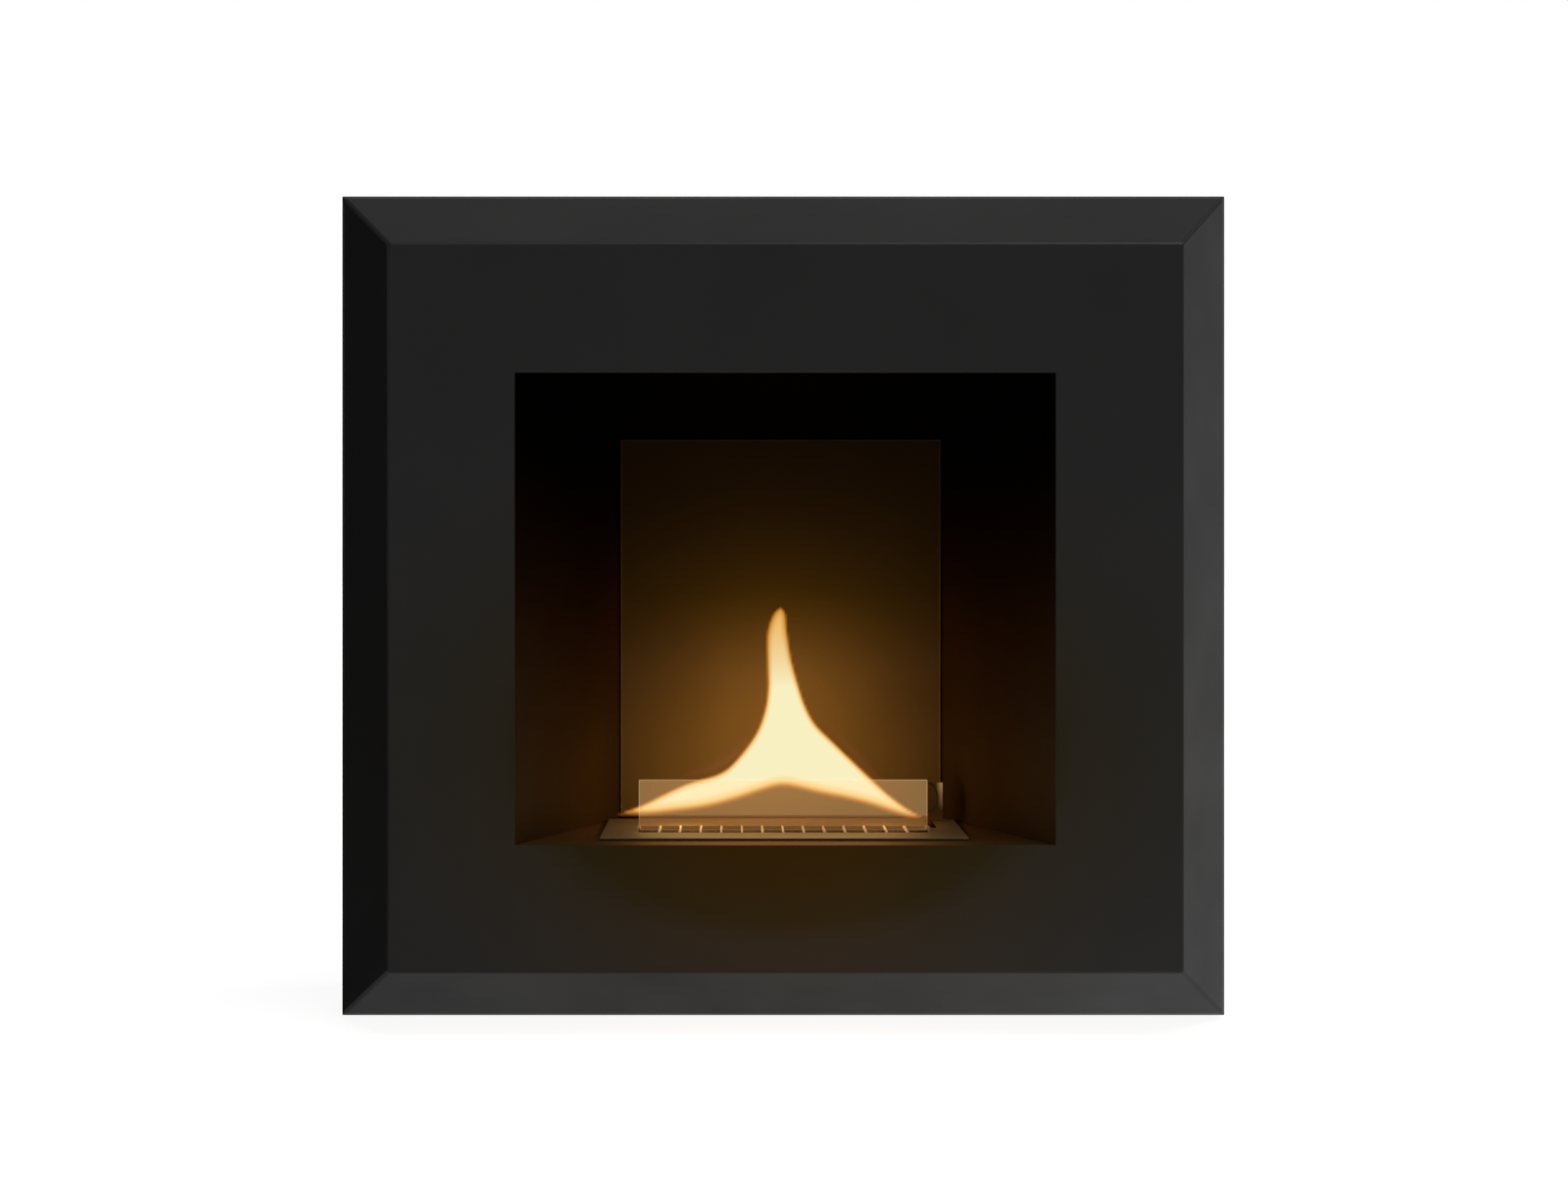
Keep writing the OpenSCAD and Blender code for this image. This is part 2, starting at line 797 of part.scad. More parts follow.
// Clip that stands on the plate beside the mouth and holds the pane's lower corner
module screen_clips() {
    reach = glass_w / 2 + clip_play;
    color(steel)
        for (side = [0, 1])
            mirror([side, 0, 0])
                difference() {
                    box([reach - clip_grip, y_glass - clip_half_y, z_plate],
                        [reach + clip_t + clip_play, y_glass + clip_half_y, z_plate + clip_h]);
                    box([0, y_glass - clip_half_y + clip_t, z_plate - over],
                        [reach, y_glass + clip_half_y - clip_t, z_plate + clip_h + over]);
                }
}

front_surround();
surround_screws();
housing_shell();
rear_cover();
rear_cover_screws();
rear_stiffeners();
feet();
foot_screws();
firebox_left_wall();
firebox_right_wall();
firebox_ceiling();
firebox_floor();
firebox_back();
back_panel();
panel_pads();
heat_shield();
shield_spacers();
firebox_legs();
firebox_ties();
spill_tray();
burner_plate();
burner_bars();
burner_tank();
ceramic_wool();
shutter_rails();
shutter_plate();
shutter_handle();
shutter_grip();
grip_screw();
screen_glass();
screen_clips();
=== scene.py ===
import math

import bmesh
import bpy
import numpy as np
from mathutils import Matrix, Vector, noise


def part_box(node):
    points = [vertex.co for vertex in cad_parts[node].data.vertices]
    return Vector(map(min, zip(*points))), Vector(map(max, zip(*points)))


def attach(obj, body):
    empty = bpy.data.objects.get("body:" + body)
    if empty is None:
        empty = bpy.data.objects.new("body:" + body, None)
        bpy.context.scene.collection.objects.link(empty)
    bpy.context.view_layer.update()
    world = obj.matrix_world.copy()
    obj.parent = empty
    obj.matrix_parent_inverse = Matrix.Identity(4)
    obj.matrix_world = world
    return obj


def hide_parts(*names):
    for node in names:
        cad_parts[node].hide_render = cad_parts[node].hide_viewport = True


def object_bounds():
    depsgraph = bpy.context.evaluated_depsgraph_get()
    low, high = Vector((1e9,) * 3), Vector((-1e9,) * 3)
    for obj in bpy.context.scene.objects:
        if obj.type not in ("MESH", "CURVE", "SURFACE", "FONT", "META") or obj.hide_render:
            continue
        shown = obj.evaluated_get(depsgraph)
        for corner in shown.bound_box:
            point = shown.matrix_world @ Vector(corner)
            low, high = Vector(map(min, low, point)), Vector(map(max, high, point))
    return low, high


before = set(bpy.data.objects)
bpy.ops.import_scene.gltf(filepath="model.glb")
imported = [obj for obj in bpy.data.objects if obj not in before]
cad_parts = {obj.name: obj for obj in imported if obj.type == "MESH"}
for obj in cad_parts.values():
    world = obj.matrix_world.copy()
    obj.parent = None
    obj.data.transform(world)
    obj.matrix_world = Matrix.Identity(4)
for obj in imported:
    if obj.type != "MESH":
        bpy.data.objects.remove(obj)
cad_low, cad_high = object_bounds()

MM = 0.001

# Camera: the photograph's frame and what was measured in it, in pixels. Distances are in metres
IMAGE_W, IMAGE_H = 1600, 1227
PIXELS_PER_MM = 1.340
VANISH_X, VANISH_Y = 752, 571
FACE_MIDDLE_PX = 801.3
OPENING_FOOT_PX = 862.9
FACE_DISTANCE = 1.900
SENSOR_W = 36.0
NEAREST, FARTHEST = 0.05, 60


def add_object(name, data):
    obj = bpy.data.objects.new(name, data)
    bpy.context.scene.collection.objects.link(obj)
    return obj


def mesh_object(name, bm, materials):
    """Smooth-shaded object from a bmesh, with its normals outward. The bmesh is freed."""
    bmesh.ops.recalc_face_normals(bm, faces=bm.faces)
    data = bpy.data.meshes.new(name)
    bm.to_mesh(data)
    bm.free()
    for material in materials:
        data.materials.append(material)
    data.polygons.foreach_set("use_smooth", [True] * len(data.polygons))
    return add_object(name, data)


def add_modifier(obj, kind, **values):
    modifier = obj.modifiers.new(kind.lower(), kind)
    for key, value in values.items():
        setattr(modifier, key, value)


def apply_modifiers(obj):
    graph = bpy.context.evaluated_depsgraph_get()
    made = bpy.data.meshes.new_from_object(obj.evaluated_get(graph))
    obj.modifiers.clear()
    obj.data = made


def make_camera():
    """Level camera whose frame is shifted, so that the vanishing point falls where the photograph has it."""
    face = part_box("front_surround")[0].y
    opening_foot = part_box("firebox_right_wall")[0].z
    cam = add_object("camera", bpy.data.cameras.new("camera"))
    cam.data.sensor_width = SENSOR_W
    cam.data.lens = PIXELS_PER_MM * FACE_DISTANCE / MM * SENSOR_W / IMAGE_W
    x = -(FACE_MIDDLE_PX - VANISH_X) / PIXELS_PER_MM * MM
    z = opening_foot + (OPENING_FOOT_PX - VANISH_Y) / PIXELS_PER_MM * MM
    cam.location = (x, face - FACE_DISTANCE, z)
    cam.rotation_euler = (math.radians(90), 0, 0)
    cam.data.shift_x = (IMAGE_W / 2 - VANISH_X) / IMAGE_W
    cam.data.shift_y = (VANISH_Y - IMAGE_H / 2) / IMAGE_W
    cam.data.clip_start, cam.data.clip_end = NEAREST, FARTHEST
    bpy.context.scene.camera = cam


class Shader:
    """The nodes of a material or world, with short names for what is needed here."""

    def __init__(self, owner, output="OutputMaterial"):
        owner.use_nodes = True
        self.owner = owner
        self.tree = owner.node_tree
        self.tree.nodes.clear()
        self.out = self.node(output)

    def node(self, kind, **values):
        """New node. A value is one of its settings, or the default of the input with that name."""
        made = self.tree.nodes.new("ShaderNode" + kind)
        for key, value in values.items():
            if hasattr(made, key):
                setattr(made, key, value)
            else:
                made.inputs[key.replace("_", " ")].default_value = value
        return made

    def link(self, source, target):
        self.tree.links.new(source, target)

    def position(self, scale=(1, 1, 1)):
        coords = self.node("TexCoord")
        mapping = self.node("Mapping", Scale=scale)
        self.link(coords.outputs["Object"], mapping.inputs["Vector"])
        return mapping.outputs["Vector"]

    def height_share(self, low, high):
        """0 up to the height low and 1 from high on, both in metres."""
        parts = self.node("SeparateXYZ")
        self.link(self.position(), parts.inputs[0])
        share = self.node("MapRange", From_Min=low, From_Max=high)
        self.link(parts.outputs["Z"], share.inputs["Value"])
        return share.outputs[0]

    def distance(self, middle, reach):
        """How far a place lies from the middle, with reach along each axis as the unit."""
        shifted = self.node("Mapping", vector_type="TEXTURE", Location=middle, Scale=reach)
        self.link(self.node("TexCoord").outputs["Object"], shifted.inputs["Vector"])
        away = self.node("VectorMath", operation="LENGTH")
        self.link(shifted.outputs["Vector"], away.inputs[0])
        return away.outputs["Value"]

    def times(self, colour, other):
        """One colour multiplied by the other."""
        made = self.node("VectorMath", operation="MULTIPLY")
        self.link(colour, made.inputs[0])
        self.link(other, made.inputs[1])
        return made.outputs[0]

    def noise(self, scale, detail=3.0, stretch=(1, 1, 1)):
        made = self.node("TexNoise", Scale=scale, Detail=detail)
        self.link(self.position(stretch), made.inputs["Vector"])
        return made.outputs["Fac"]

    def ramp(self, factor, stops):
        made = self.node("ValToRGB")
        elements = made.color_ramp.elements
        while len(elements) < len(stops):
            elements.new(0.5)
        for element, (at, colour) in zip(elements, stops):
            element.position = at
            element.color = (*colour, 1)
        self.link(factor, made.inputs["Fac"])
        return made.outputs["Color"]

    def grey_ramp(self, factor, low, high, start=0.3, end=0.7):
        return self.ramp(factor, [(start, (low,) * 3), (end, (high,) * 3)])

    def principled(self, **values):
        bsdf = self.node("BsdfPrincipled", **values)
        self.link(bsdf.outputs[0], self.out.inputs["Surface"])
        return bsdf

    def bump(self, bsdf, height, distance):
        made = self.node("Bump", Distance=distance)
        self.link(height, made.inputs["Height"])
        self.link(made.outputs["Normal"], bsdf.inputs["Normal"])

    def calculate(self, operation, first, second):
        """Result of a calculation with two values, each an output or a plain number."""
        made = self.node("Math", operation=operation)
        for socket, value in zip(made.inputs, (first, second)):
            if isinstance(value, float):
                socket.default_value = value
            else:
                self.link(value, socket)
        return made.outputs[0]

    def seen(self, rays):
        """1 for what the camera sees, also through glass, and 0 for all other light."""
        return self.calculate("MAXIMUM", rays.outputs["Is Camera Ray"], rays.outputs["Is Transmission Ray"])

    def both(self, first, second):
        """Shader with the light of two others."""
        made = self.node("AddShader")
        self.link(first.outputs[0], made.inputs[0])
        self.link(second.outputs[0], made.inputs[1])
        return made

    def show_mix(self, factor, first, second):
        """Shows the first shader where the factor is 0 and the second one where it is 1."""
        made = self.node("MixShader")
        self.link(factor, made.inputs["Fac"])
        self.link(first.outputs[0], made.inputs[1])
        self.link(second.outputs[0], made.inputs[2])
        self.link(made.outputs[0], self.out.inputs["Surface"])


# Finishes. Colours run from dark to light, rough is the lowest and the highest roughness, and lengths are
# in metres. Patterns are a scale per metre and a detail, and brushed ones a scale along each axis
COAT_CLOUDS, COAT_SHEEN = (9, 4), (14, 5)
SPECKS, SHEEN_SPECKS = (40, 4), (60, 3)
SMOKE = (90, 3)
SPANGLES = 70.0
BRUSHED_ALONG_X, BRUSHED_ALONG_Y = (30, 900, 900), (900, 30, 900)
UNBRUSHED = (300, 300, 300)
BRUSH_DEPTH = 0.00002
POLISHED_DEPTH = 0.00001
CUT_UNDER, FLAT_OVER = 0.30, 0.55
# Heights in metres between which painted shade darkens the firebox upward
SHADE_LOW, SHADE_HIGH = 0.20, 0.47
# Middle and reach in metres of the fire's painted light on the face and the hearth
FIRE_MIDDLE, FIRE_REACH = (0, 0, 0.22), (0.40, 4.0, 0.27)
# Reach in metres of the painted highlight on the shutter handle
HANDLE_HIGHLIGHT_REACH = (0.0055, 1.0, 0.024)
PANE_FOOT = 0.012
PANE_FOOT_FILM = [(0.86, (0.60, 0.47, 0.36)), (1.0, (1, 1, 1))]
FILM_CLOUDS, FILM_STRETCH = (22, 3), (1, 1, 0.4)
FILM_DIM = 0.92


def painted_shade_height(s):
    """How high a place lies in the firebox, for the painted shade that darkens walls and panel upward: 0 low
    down and 1 at the ceiling.
    """
    return s.height_share(SHADE_LOW, SHADE_HIGH)


def fire_glow_fade(s):
    """How far a place lies from the fire: 0 at it, where the painted fire light is strongest, and 1 where it
    has faded.
    """
    return s.distance(FIRE_MIDDLE, FIRE_REACH)


def powder_coat(name, dark, light, rough, grain=1300, depth=0.00005, specular=0.5, painted_light=None, stops=()):
    """Paint with a fine orange-peel grain. Stops give the colour of painted light or shade that tints it and
    its reflection, for each share that painted_light finds."""
    s = Shader(bpy.data.materials.new(name))
    bsdf = s.principled(Specular_IOR_Level=specular)
    paint = s.ramp(s.noise(*COAT_CLOUDS), [(0.35, dark), (0.68, light)])
    # Painted light or shade: a tint by place, on the colour and on the reflection
    if painted_light:
        painted_tint = s.ramp(painted_light(s), stops)
        s.link(painted_tint, bsdf.inputs["Specular Tint"])
        paint = s.times(paint, painted_tint)
    s.link(paint, bsdf.inputs["Base Color"])
    s.link(s.grey_ramp(s.noise(*COAT_SHEEN), *rough), bsdf.inputs["Roughness"])
    s.bump(bsdf, s.noise(grain, 2.5), depth)
    return s.owner


def brushed(name, dark, light, rough, along=BRUSHED_ALONG_X, depth=BRUSH_DEPTH, metallic=1.0):
    """Metal brushed along X, unless along says otherwise."""
    s = Shader(bpy.data.materials.new(name))
    bsdf = s.principled(Metallic=metallic)
    streaks = s.noise(1.0, 4, along)
    s.link(s.ramp(streaks, [(0.3, dark), (0.7, light)]), bsdf.inputs["Base Color"])
    s.link(s.grey_ramp(streaks, *rough), bsdf.inputs["Roughness"])
    s.bump(bsdf, streaks, depth)
    return s.owner


def steel_sheet(name, dark, light, rough, cut_shade):
    """Brushed sheet that lies flat. Its cut edges, which don't face up or down, have the dark colour
    cut_shade, a painted shade.
    """
    s = Shader(bpy.data.materials.new(name))
    bsdf = s.principled(Metallic=0.94)
    streaks = s.noise(1.0, 4, BRUSHED_ALONG_X)
    parts = s.node("SeparateXYZ")
    s.link(s.node("TexCoord").outputs["Normal"], parts.inputs[0])
    upright = s.node("Math", operation="ABSOLUTE")
    s.link(parts.outputs["Z"], upright.inputs[0])
    flat = s.grey_ramp(upright.outputs[0], 0, 1, CUT_UNDER, FLAT_OVER)
    # Cut edges dark: painted shade
    edge = s.node("Mix", data_type="RGBA")
    edge.inputs[6].default_value = (*cut_shade, 1)
    s.link(flat, edge.inputs[0])
    s.link(s.ramp(streaks, [(0.3, dark), (0.7, light)]), edge.inputs[7])
    s.link(edge.outputs[2], bsdf.inputs["Base Color"])
    s.link(s.grey_ramp(streaks, *rough), bsdf.inputs["Roughness"])
    s.bump(bsdf, streaks, BRUSH_DEPTH)
    return s.owner


def painted_highlight_steel(name, far_colour, highlight, corner, reach, rough):
    """Dark brown steel with a painted highlight of the flame's light, brightest at the corner, the one
    farthest from the fire.
    """
    s = Shader(bpy.data.materials.new(name))
    bsdf = s.principled(Metallic=0.85)
    away = s.distance(corner, reach)
    # Painted highlight near the corner, dark brown away from it
    s.link(s.ramp(away, [(0.20, highlight), (1.0, far_colour)]), bsdf.inputs["Base Color"])
    s.link(s.grey_ramp(s.noise(*SMOKE), *rough), bsdf.inputs["Roughness"])
    return s.owner


def galvanised(name):
    """Zinc coat with its spangle."""
    s = Shader(bpy.data.materials.new(name))
    bsdf = s.principled(Metallic=1.0)
    cells = s.node("TexVoronoi", Scale=SPANGLES)
    s.link(s.position(), cells.inputs["Vector"])
    spangle = [(0.0, (0.42, 0.44, 0.46)), (1.0, (0.66, 0.68, 0.70))]
    s.link(s.ramp(cells.outputs["Distance"], spangle), bsdf.inputs["Base Color"])
    s.link(s.grey_ramp(s.noise(*SHEEN_SPECKS), 0.35, 0.55), bsdf.inputs["Roughness"])
    return s.owner


def dull(name, dark, light, rough, grain=600, depth=0.0001, specular=0.5):
    """Rubber, fibre or plastic with a fine grain."""
    s = Shader(bpy.data.materials.new(name))
    bsdf = s.principled(Specular_IOR_Level=specular)
    s.link(s.ramp(s.noise(*SPECKS), [(0.3, dark), (0.7, light)]), bsdf.inputs["Base Color"])
    s.link(s.grey_ramp(s.noise(*SHEEN_SPECKS), *rough), bsdf.inputs["Roughness"])
    s.bump(bsdf, s.noise(grain, 3), depth)
    return s.owner


def lit_glass(name, alpha, glow, strength):
    """Clear glass with the film of light that the flame lays on it, weaker at the pane's foot."""
    s = Shader(bpy.data.materials.new(name))
    bsdf = s.principled(Base_Color=(0.08, 0.06, 0.04, 1), Roughness=0.06, Alpha=alpha,
                        Emission_Strength=strength)
    dim_glow = tuple(FILM_DIM * c for c in glow)
    film = s.ramp(s.noise(*FILM_CLOUDS, FILM_STRETCH), [(0.3, dim_glow), (0.75, glow)])
    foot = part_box("screen_glass")[0].z
    fading = s.ramp(s.height_share(foot, foot + PANE_FOOT), PANE_FOOT_FILM)
    s.link(s.times(film, fading), bsdf.inputs["Emission Color"])
    return s.owner


# Painted fire light and painted shade: each stop is a share, from 0 at the fire or low down to 1 far off or
# high up, and its colour
# Firebox walls: darker and redder upward, painted shade where the fire's light falls off
WALL_PAINTED_SHADE = [(0.0, (1, 1, 1)), (0.40, (0.85, 0.62, 0.5)), (0.72, (0.35, 0.2, 0.15)),
             (0.92, (0.05, 0.05, 0.05))]
# Back panel: darker and yellower upward, painted shade where the fire's light falls off
PANEL_PAINTED_SHADE = [(0.26, (1, 1, 1)), (0.50, (0.66, 0.66, 0.30)), (1.0, (0.58, 0.58, 0.50))]
# Face: orange near the opening, painted fire light, also in its reflection
FACE_PAINTED_GLOW = [(0.30, (0.86, 0.55, 0.11)), (0.48, (0.80, 0.64, 0.25)), (0.56, (0.96, 0.84, 0.58)),
              (0.74, (1, 0.94, 0.82)), (0.95, (1, 1, 1))]
# Hearth: darker and bluer away from the fire, where its painted fire light fades
HEARTH_PAINTED_GLOW = [(0.28, (1, 1, 1)), (0.38, (0.72, 0.80, 0.92)), (0.46, (0.28, 0.38, 0.50)),
                (0.60, (0.22, 0.32, 0.45))]

coat = powder_coat("black_powder_coat", (0.0095, 0.0095, 0.0093), (0.0115, 0.0115, 0.0112), (0.42, 0.50))
# Face coat with painted fire light near the opening
front_coat = powder_coat("front_coat", (0.0095, 0.0095, 0.0093), (0.0115, 0.0115, 0.0112), (0.42, 0.50),
                         painted_light=fire_glow_fade, stops=FACE_PAINTED_GLOW)
# Firebox walls with painted shade that darkens them upward
wall_coat = powder_coat("firebox_coat", (0.0085, 0.0055, 0.0016), (0.0105, 0.007, 0.0022), (0.50, 0.62),
                        grain=900, specular=0.15, painted_light=painted_shade_height, stops=WALL_PAINTED_SHADE)
# Hearth: the orange-brown colour is painted fire light, which fades away from the fire
hearth_coat = powder_coat("hearth_coat", (0.116, 0.045, 0.0100), (0.132, 0.053, 0.0120), (0.4, 0.5),
                          grain=900, specular=0.1, painted_light=fire_glow_fade, stops=HEARTH_PAINTED_GLOW)
# Near black and almost without sheen: painted shade on the firebox's ceiling
ceiling_shade_coat = powder_coat("ceiling_shade_coat", (0.0005, 0.0004, 0.0003), (0.0008, 0.0007, 0.0005), (0.6, 0.7),
                           grain=900, specular=0.01)
# Back panel with painted shade that darkens it upward
panel_gloss = powder_coat("panel_gloss", (0.030, 0.0235, 0.010), (0.034, 0.027, 0.012), (0.50, 0.56),
                          grain=300, depth=POLISHED_DEPTH, specular=0.1, painted_light=painted_shade_height, stops=PANEL_PAINTED_SHADE)
# Lighter colour of the back panel's softened edges: a painted highlight of the flame
panel_edge_highlight = powder_coat("panel_edge_highlight", (0.12, 0.10, 0.07), (0.16, 0.13, 0.09), (0.3, 0.4),
                         depth=POLISHED_DEPTH)
# Burner plate: its warm brown is painted fire light, and its near-black cut edges painted shade
plate_steel = steel_sheet("plate_steel", (0.41, 0.325, 0.165), (0.50, 0.40, 0.21), (0.42, 0.52),
                          cut_shade=(0.06, 0.045, 0.02))
# Shutter handle with a painted highlight at one corner
handle_steel = painted_highlight_steel("handle_steel", (0.13, 0.062, 0.018), (1.0, 0.60, 0.22),
                           corner=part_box("shutter_handle")[1], reach=HANDLE_HIGHLIGHT_REACH, rough=(0.3, 0.4))
bar_steel = brushed("bar_steel", (0.40, 0.46, 0.55), (0.50, 0.57, 0.66), (0.28, 0.38),
                    along=BRUSHED_ALONG_Y, metallic=0.6)
# Dark steel: painted shade inside the burner
tank_steel = brushed("tank_steel", (0.10, 0.09, 0.08), (0.14, 0.13, 0.115), (0.45, 0.55), depth=0.000005)
# Warm steel: painted fire light on the clips
clip_steel = brushed("clip_steel", (0.56, 0.46, 0.30), (0.68, 0.57, 0.40), (0.28, 0.38), along=UNBRUSHED,
                     metallic=0.9)
zinc = galvanised("zinc_sheet")
screw_zinc = brushed("screw_zinc", (0.5, 0.5, 0.48), (0.7, 0.7, 0.67), (0.25, 0.4), along=UNBRUSHED)
foot_rubber = dull("foot_rubber", (0.02, 0.02, 0.02), (0.035, 0.035, 0.035), (0.7, 0.85))
pad_rubber = dull("pad_rubber", (0.2, 0.035, 0.02), (0.28, 0.05, 0.03), (0.6, 0.7))
fibre = dull("ceramic_fibre", (0.50, 0.46, 0.39), (0.72, 0.69, 0.62), (0.9, 1.0), grain=350, depth=0.0008)
grip_black = dull("grip_black", (0.013, 0.009, 0.002), (0.018, 0.013, 0.003), (0.35, 0.45),
                  depth=POLISHED_DEPTH, specular=0.12)
# Near black: the colour of the painted shade strip at the back panel's foot
shadow_strip_black = dull("shadow_strip_black", (0.004, 0.003, 0.002), (0.007, 0.006, 0.004), (0.9, 1.0), specular=0.05)
pane = lit_glass("pane", 0.095, (1.0, 0.56, 0.20), 1.25)
pane_edge = lit_glass("pane_edge", 0.13, (1.0, 0.64, 0.30), 1.6)

# CAD nodes that keep their shape: their materials, of which a second one is that of the edges, and the
# width of their softened edges in mm. Round ones keep smooth shading
NODE_FINISH = {
    "housing_shell": ([coat], 1.0), "rear_cover": ([coat], 0.25), "rear_stiffeners": ([zinc], 0.4),
    "feet": ([foot_rubber], 0.8), "firebox_left_wall": ([wall_coat], 0.4),
    "firebox_right_wall": ([wall_coat], 0.4), "firebox_ceiling": ([ceiling_shade_coat], 0.4),
    "firebox_floor": ([hearth_coat], 0.3), "firebox_back": ([wall_coat], 0.3),
    "back_panel": ([panel_gloss, panel_edge_highlight], 0.7), "panel_pads": ([pad_rubber], 0.3),
    "heat_shield": ([zinc], 0.3), "shield_spacers": ([zinc], 0.3), "firebox_legs": ([zinc], 0.3),
    "firebox_ties": ([zinc], 0.3), "spill_tray": ([zinc], 0.3), "burner_plate": ([plate_steel], 0.35),
    "burner_bars": ([bar_steel], 0.2), "burner_tank": ([tank_steel], 0.3),
    "shutter_rails": ([tank_steel], 0.3), "shutter_plate": ([tank_steel], 0.2),
    "shutter_handle": ([handle_steel], 0.4), "shutter_grip": ([grip_black], 1.6),
    "screen_glass": ([pane, pane_edge], 0.6), "screen_clips": ([clip_steel], 0.3),
}
ROUND_NODES = ("shutter_grip",)
WELD_WITHIN = 0.00001
EDGE_STEPS = 3
FLAT_UNDER, SPLIT_OVER, SOFTEN_OVER = (math.radians(angle) for angle in (0.5, 12, 35))


def finish_cad_nodes():
    """Materials and softened edges. Flat faces are joined before that, so that no thin triangle folds
    over, and they keep flat shading."""
    for name, (materials, edge) in NODE_FINISH.items():
        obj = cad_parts[name]
        obj.data.materials.clear()
        for material in materials:
            obj.data.materials.append(material)
        add_modifier(obj, "WELD", merge_threshold=WELD_WITHIN)
        add_modifier(obj, "DECIMATE", decimate_type="DISSOLVE", angle_limit=FLAT_UNDER)
        add_modifier(obj, "BEVEL", width=edge * MM, segments=EDGE_STEPS, limit_method="ANGLE",
                     angle_limit=SOFTEN_OVER, material=len(materials) - 1)
        if name not in ROUND_NODES:
            add_modifier(obj, "EDGE_SPLIT", split_angle=SPLIT_OVER)


# Surround: rings of points that follow its section, from the face to the returns and back inside. In mm,
# but RIM_GROOVE is the share of the groove's depth that is left at the rim
BEVEL_W, BEVEL_D = 44, 72
LIP_W, LIP_D = 3, 8
BEND_R = 3.5
SHEET_T = 1.5
OPENING_W = 412
OPENING_EDGE_R = 0.5
FACE_RUN = 20
GROOVE_HALF, GROOVE_DEPTH = 2.2, 1.0
RIM_GROOVE = 0.12
BEND_STEPS = 6
CREASE_OVER = math.radians(40)


def rounded_corner(a, p, b, radius):
    """Points of the arc that rounds corner p between a and b."""
    a, p, b = Vector(a), Vector(p), Vector(b)
    to_a, to_b = (a - p).normalized(), (b - p).normalized()
    half = to_a.angle(to_b) / 2
    centre = p + (to_a + to_b).normalized() * radius / math.sin(half)
    start = p + to_a * radius / math.tan(half) - centre
    end = p + to_b * radius / math.tan(half) - centre
    turn = math.pi - 2 * half
    return [centre + (start * math.sin(turn * (1 - k / BEND_STEPS)) + end * math.sin(turn * k / BEND_STEPS))
            / math.sin(turn) for k in range(BEND_STEPS + 1)]


def surround_section(inset, radius):
    """Section as pairs of offset from the rim and depth behind the face, in mm."""
    bevel_angle = math.atan2(BEVEL_D, BEVEL_W)
    lip_angle = math.atan2(LIP_D, LIP_W)
    face_shift = inset * math.tan(bevel_angle / 2)
    lip_shift = inset * math.tan((lip_angle - bevel_angle) / 2)
    rim_shift = inset * math.tan((math.pi / 2 - lip_angle) / 2)
    low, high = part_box("front_surround")
    back = (high.y - low.y) / MM
    face = (LIP_W + BEVEL_W + face_shift, inset)
    lip = Vector((LIP_W, BEVEL_D)) + inset * Vector((math.sin(lip_angle), math.cos(lip_angle))) \
        + lip_shift * Vector((math.cos(lip_angle), -math.sin(lip_angle)))
    rim = (inset, BEVEL_D + LIP_D + rim_shift)
    points = rounded_corner((face[0] + FACE_RUN, inset), face, lip, radius)
    points += rounded_corner(face, lip, rim, radius)
    points += rounded_corner(lip, rim, (inset, back), radius)
    return points + [Vector((inset, back))]


def surround_rings():
    """Each ring: left, right, foot, top and depth in metres, and how deep its mitre grooves are."""
    low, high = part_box("front_surround")
    foot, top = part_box("firebox_right_wall")[0].z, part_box("firebox_right_wall")[1].z

    def rim_ring(point, groove):
        off, y = point * MM
        return low.x + off, high.x - off, low.z + off, high.z - off, low.y + y, groove

    def opening_ring(out, depth):
        out, half = out * MM, OPENING_W / 2 * MM
        return -half - out, half + out, foot - out, top + out, low.y + depth * MM, 0

    outer = surround_section(0, BEND_R)
    inner = surround_section(SHEET_T, BEND_R - SHEET_T)
    lip_end = 2 * (BEND_STEPS + 1)
    rings = [rim_ring(p, min(1, k / BEND_STEPS) if k < lip_end else RIM_GROOVE)
             for k, p in enumerate(outer)]
    rings += [rim_ring(p, 0) for p in reversed(inner)]
    rings.append(opening_ring(0, SHEET_T))
    for k in range(BEND_STEPS // 2 + 1):
        turn = math.pi / 2 * k / (BEND_STEPS // 2)
        rings.append(opening_ring(OPENING_EDGE_R * (1 - math.cos(turn)),
                                  OPENING_EDGE_R * (1 - math.sin(turn))))
    return rings


def ring_points(ring):
    """Points round a ring, five at each corner, where the mitre groove sinks in."""
    x0, x1, z0, z1, y, groove = ring
    points = []
    for x, z, before, after in ((x0, z0, (0, 1), (1, 0)), (x1, z0, (-1, 0), (0, 1)),
                                (x1, z1, (0, -1), (-1, 0)), (x0, z1, (1, 0), (0, -1))):
        side_x, side_z = (-1 if x == x0 else 1), (-1 if z == z0 else 1)
        inward = Vector((-side_x, 1, -side_z)).normalized()
        for k in (-2, -1, 0, 1, 2):
            along = before if k < 0 else after
            out = abs(k) / 2 * GROOVE_HALF * MM
            sink = groove * GROOVE_DEPTH * MM * (1 - (k / 2) ** 2)
            points.append(Vector((x + along[0] * out, y, z + along[1] * out)) + inward * sink)
    return points


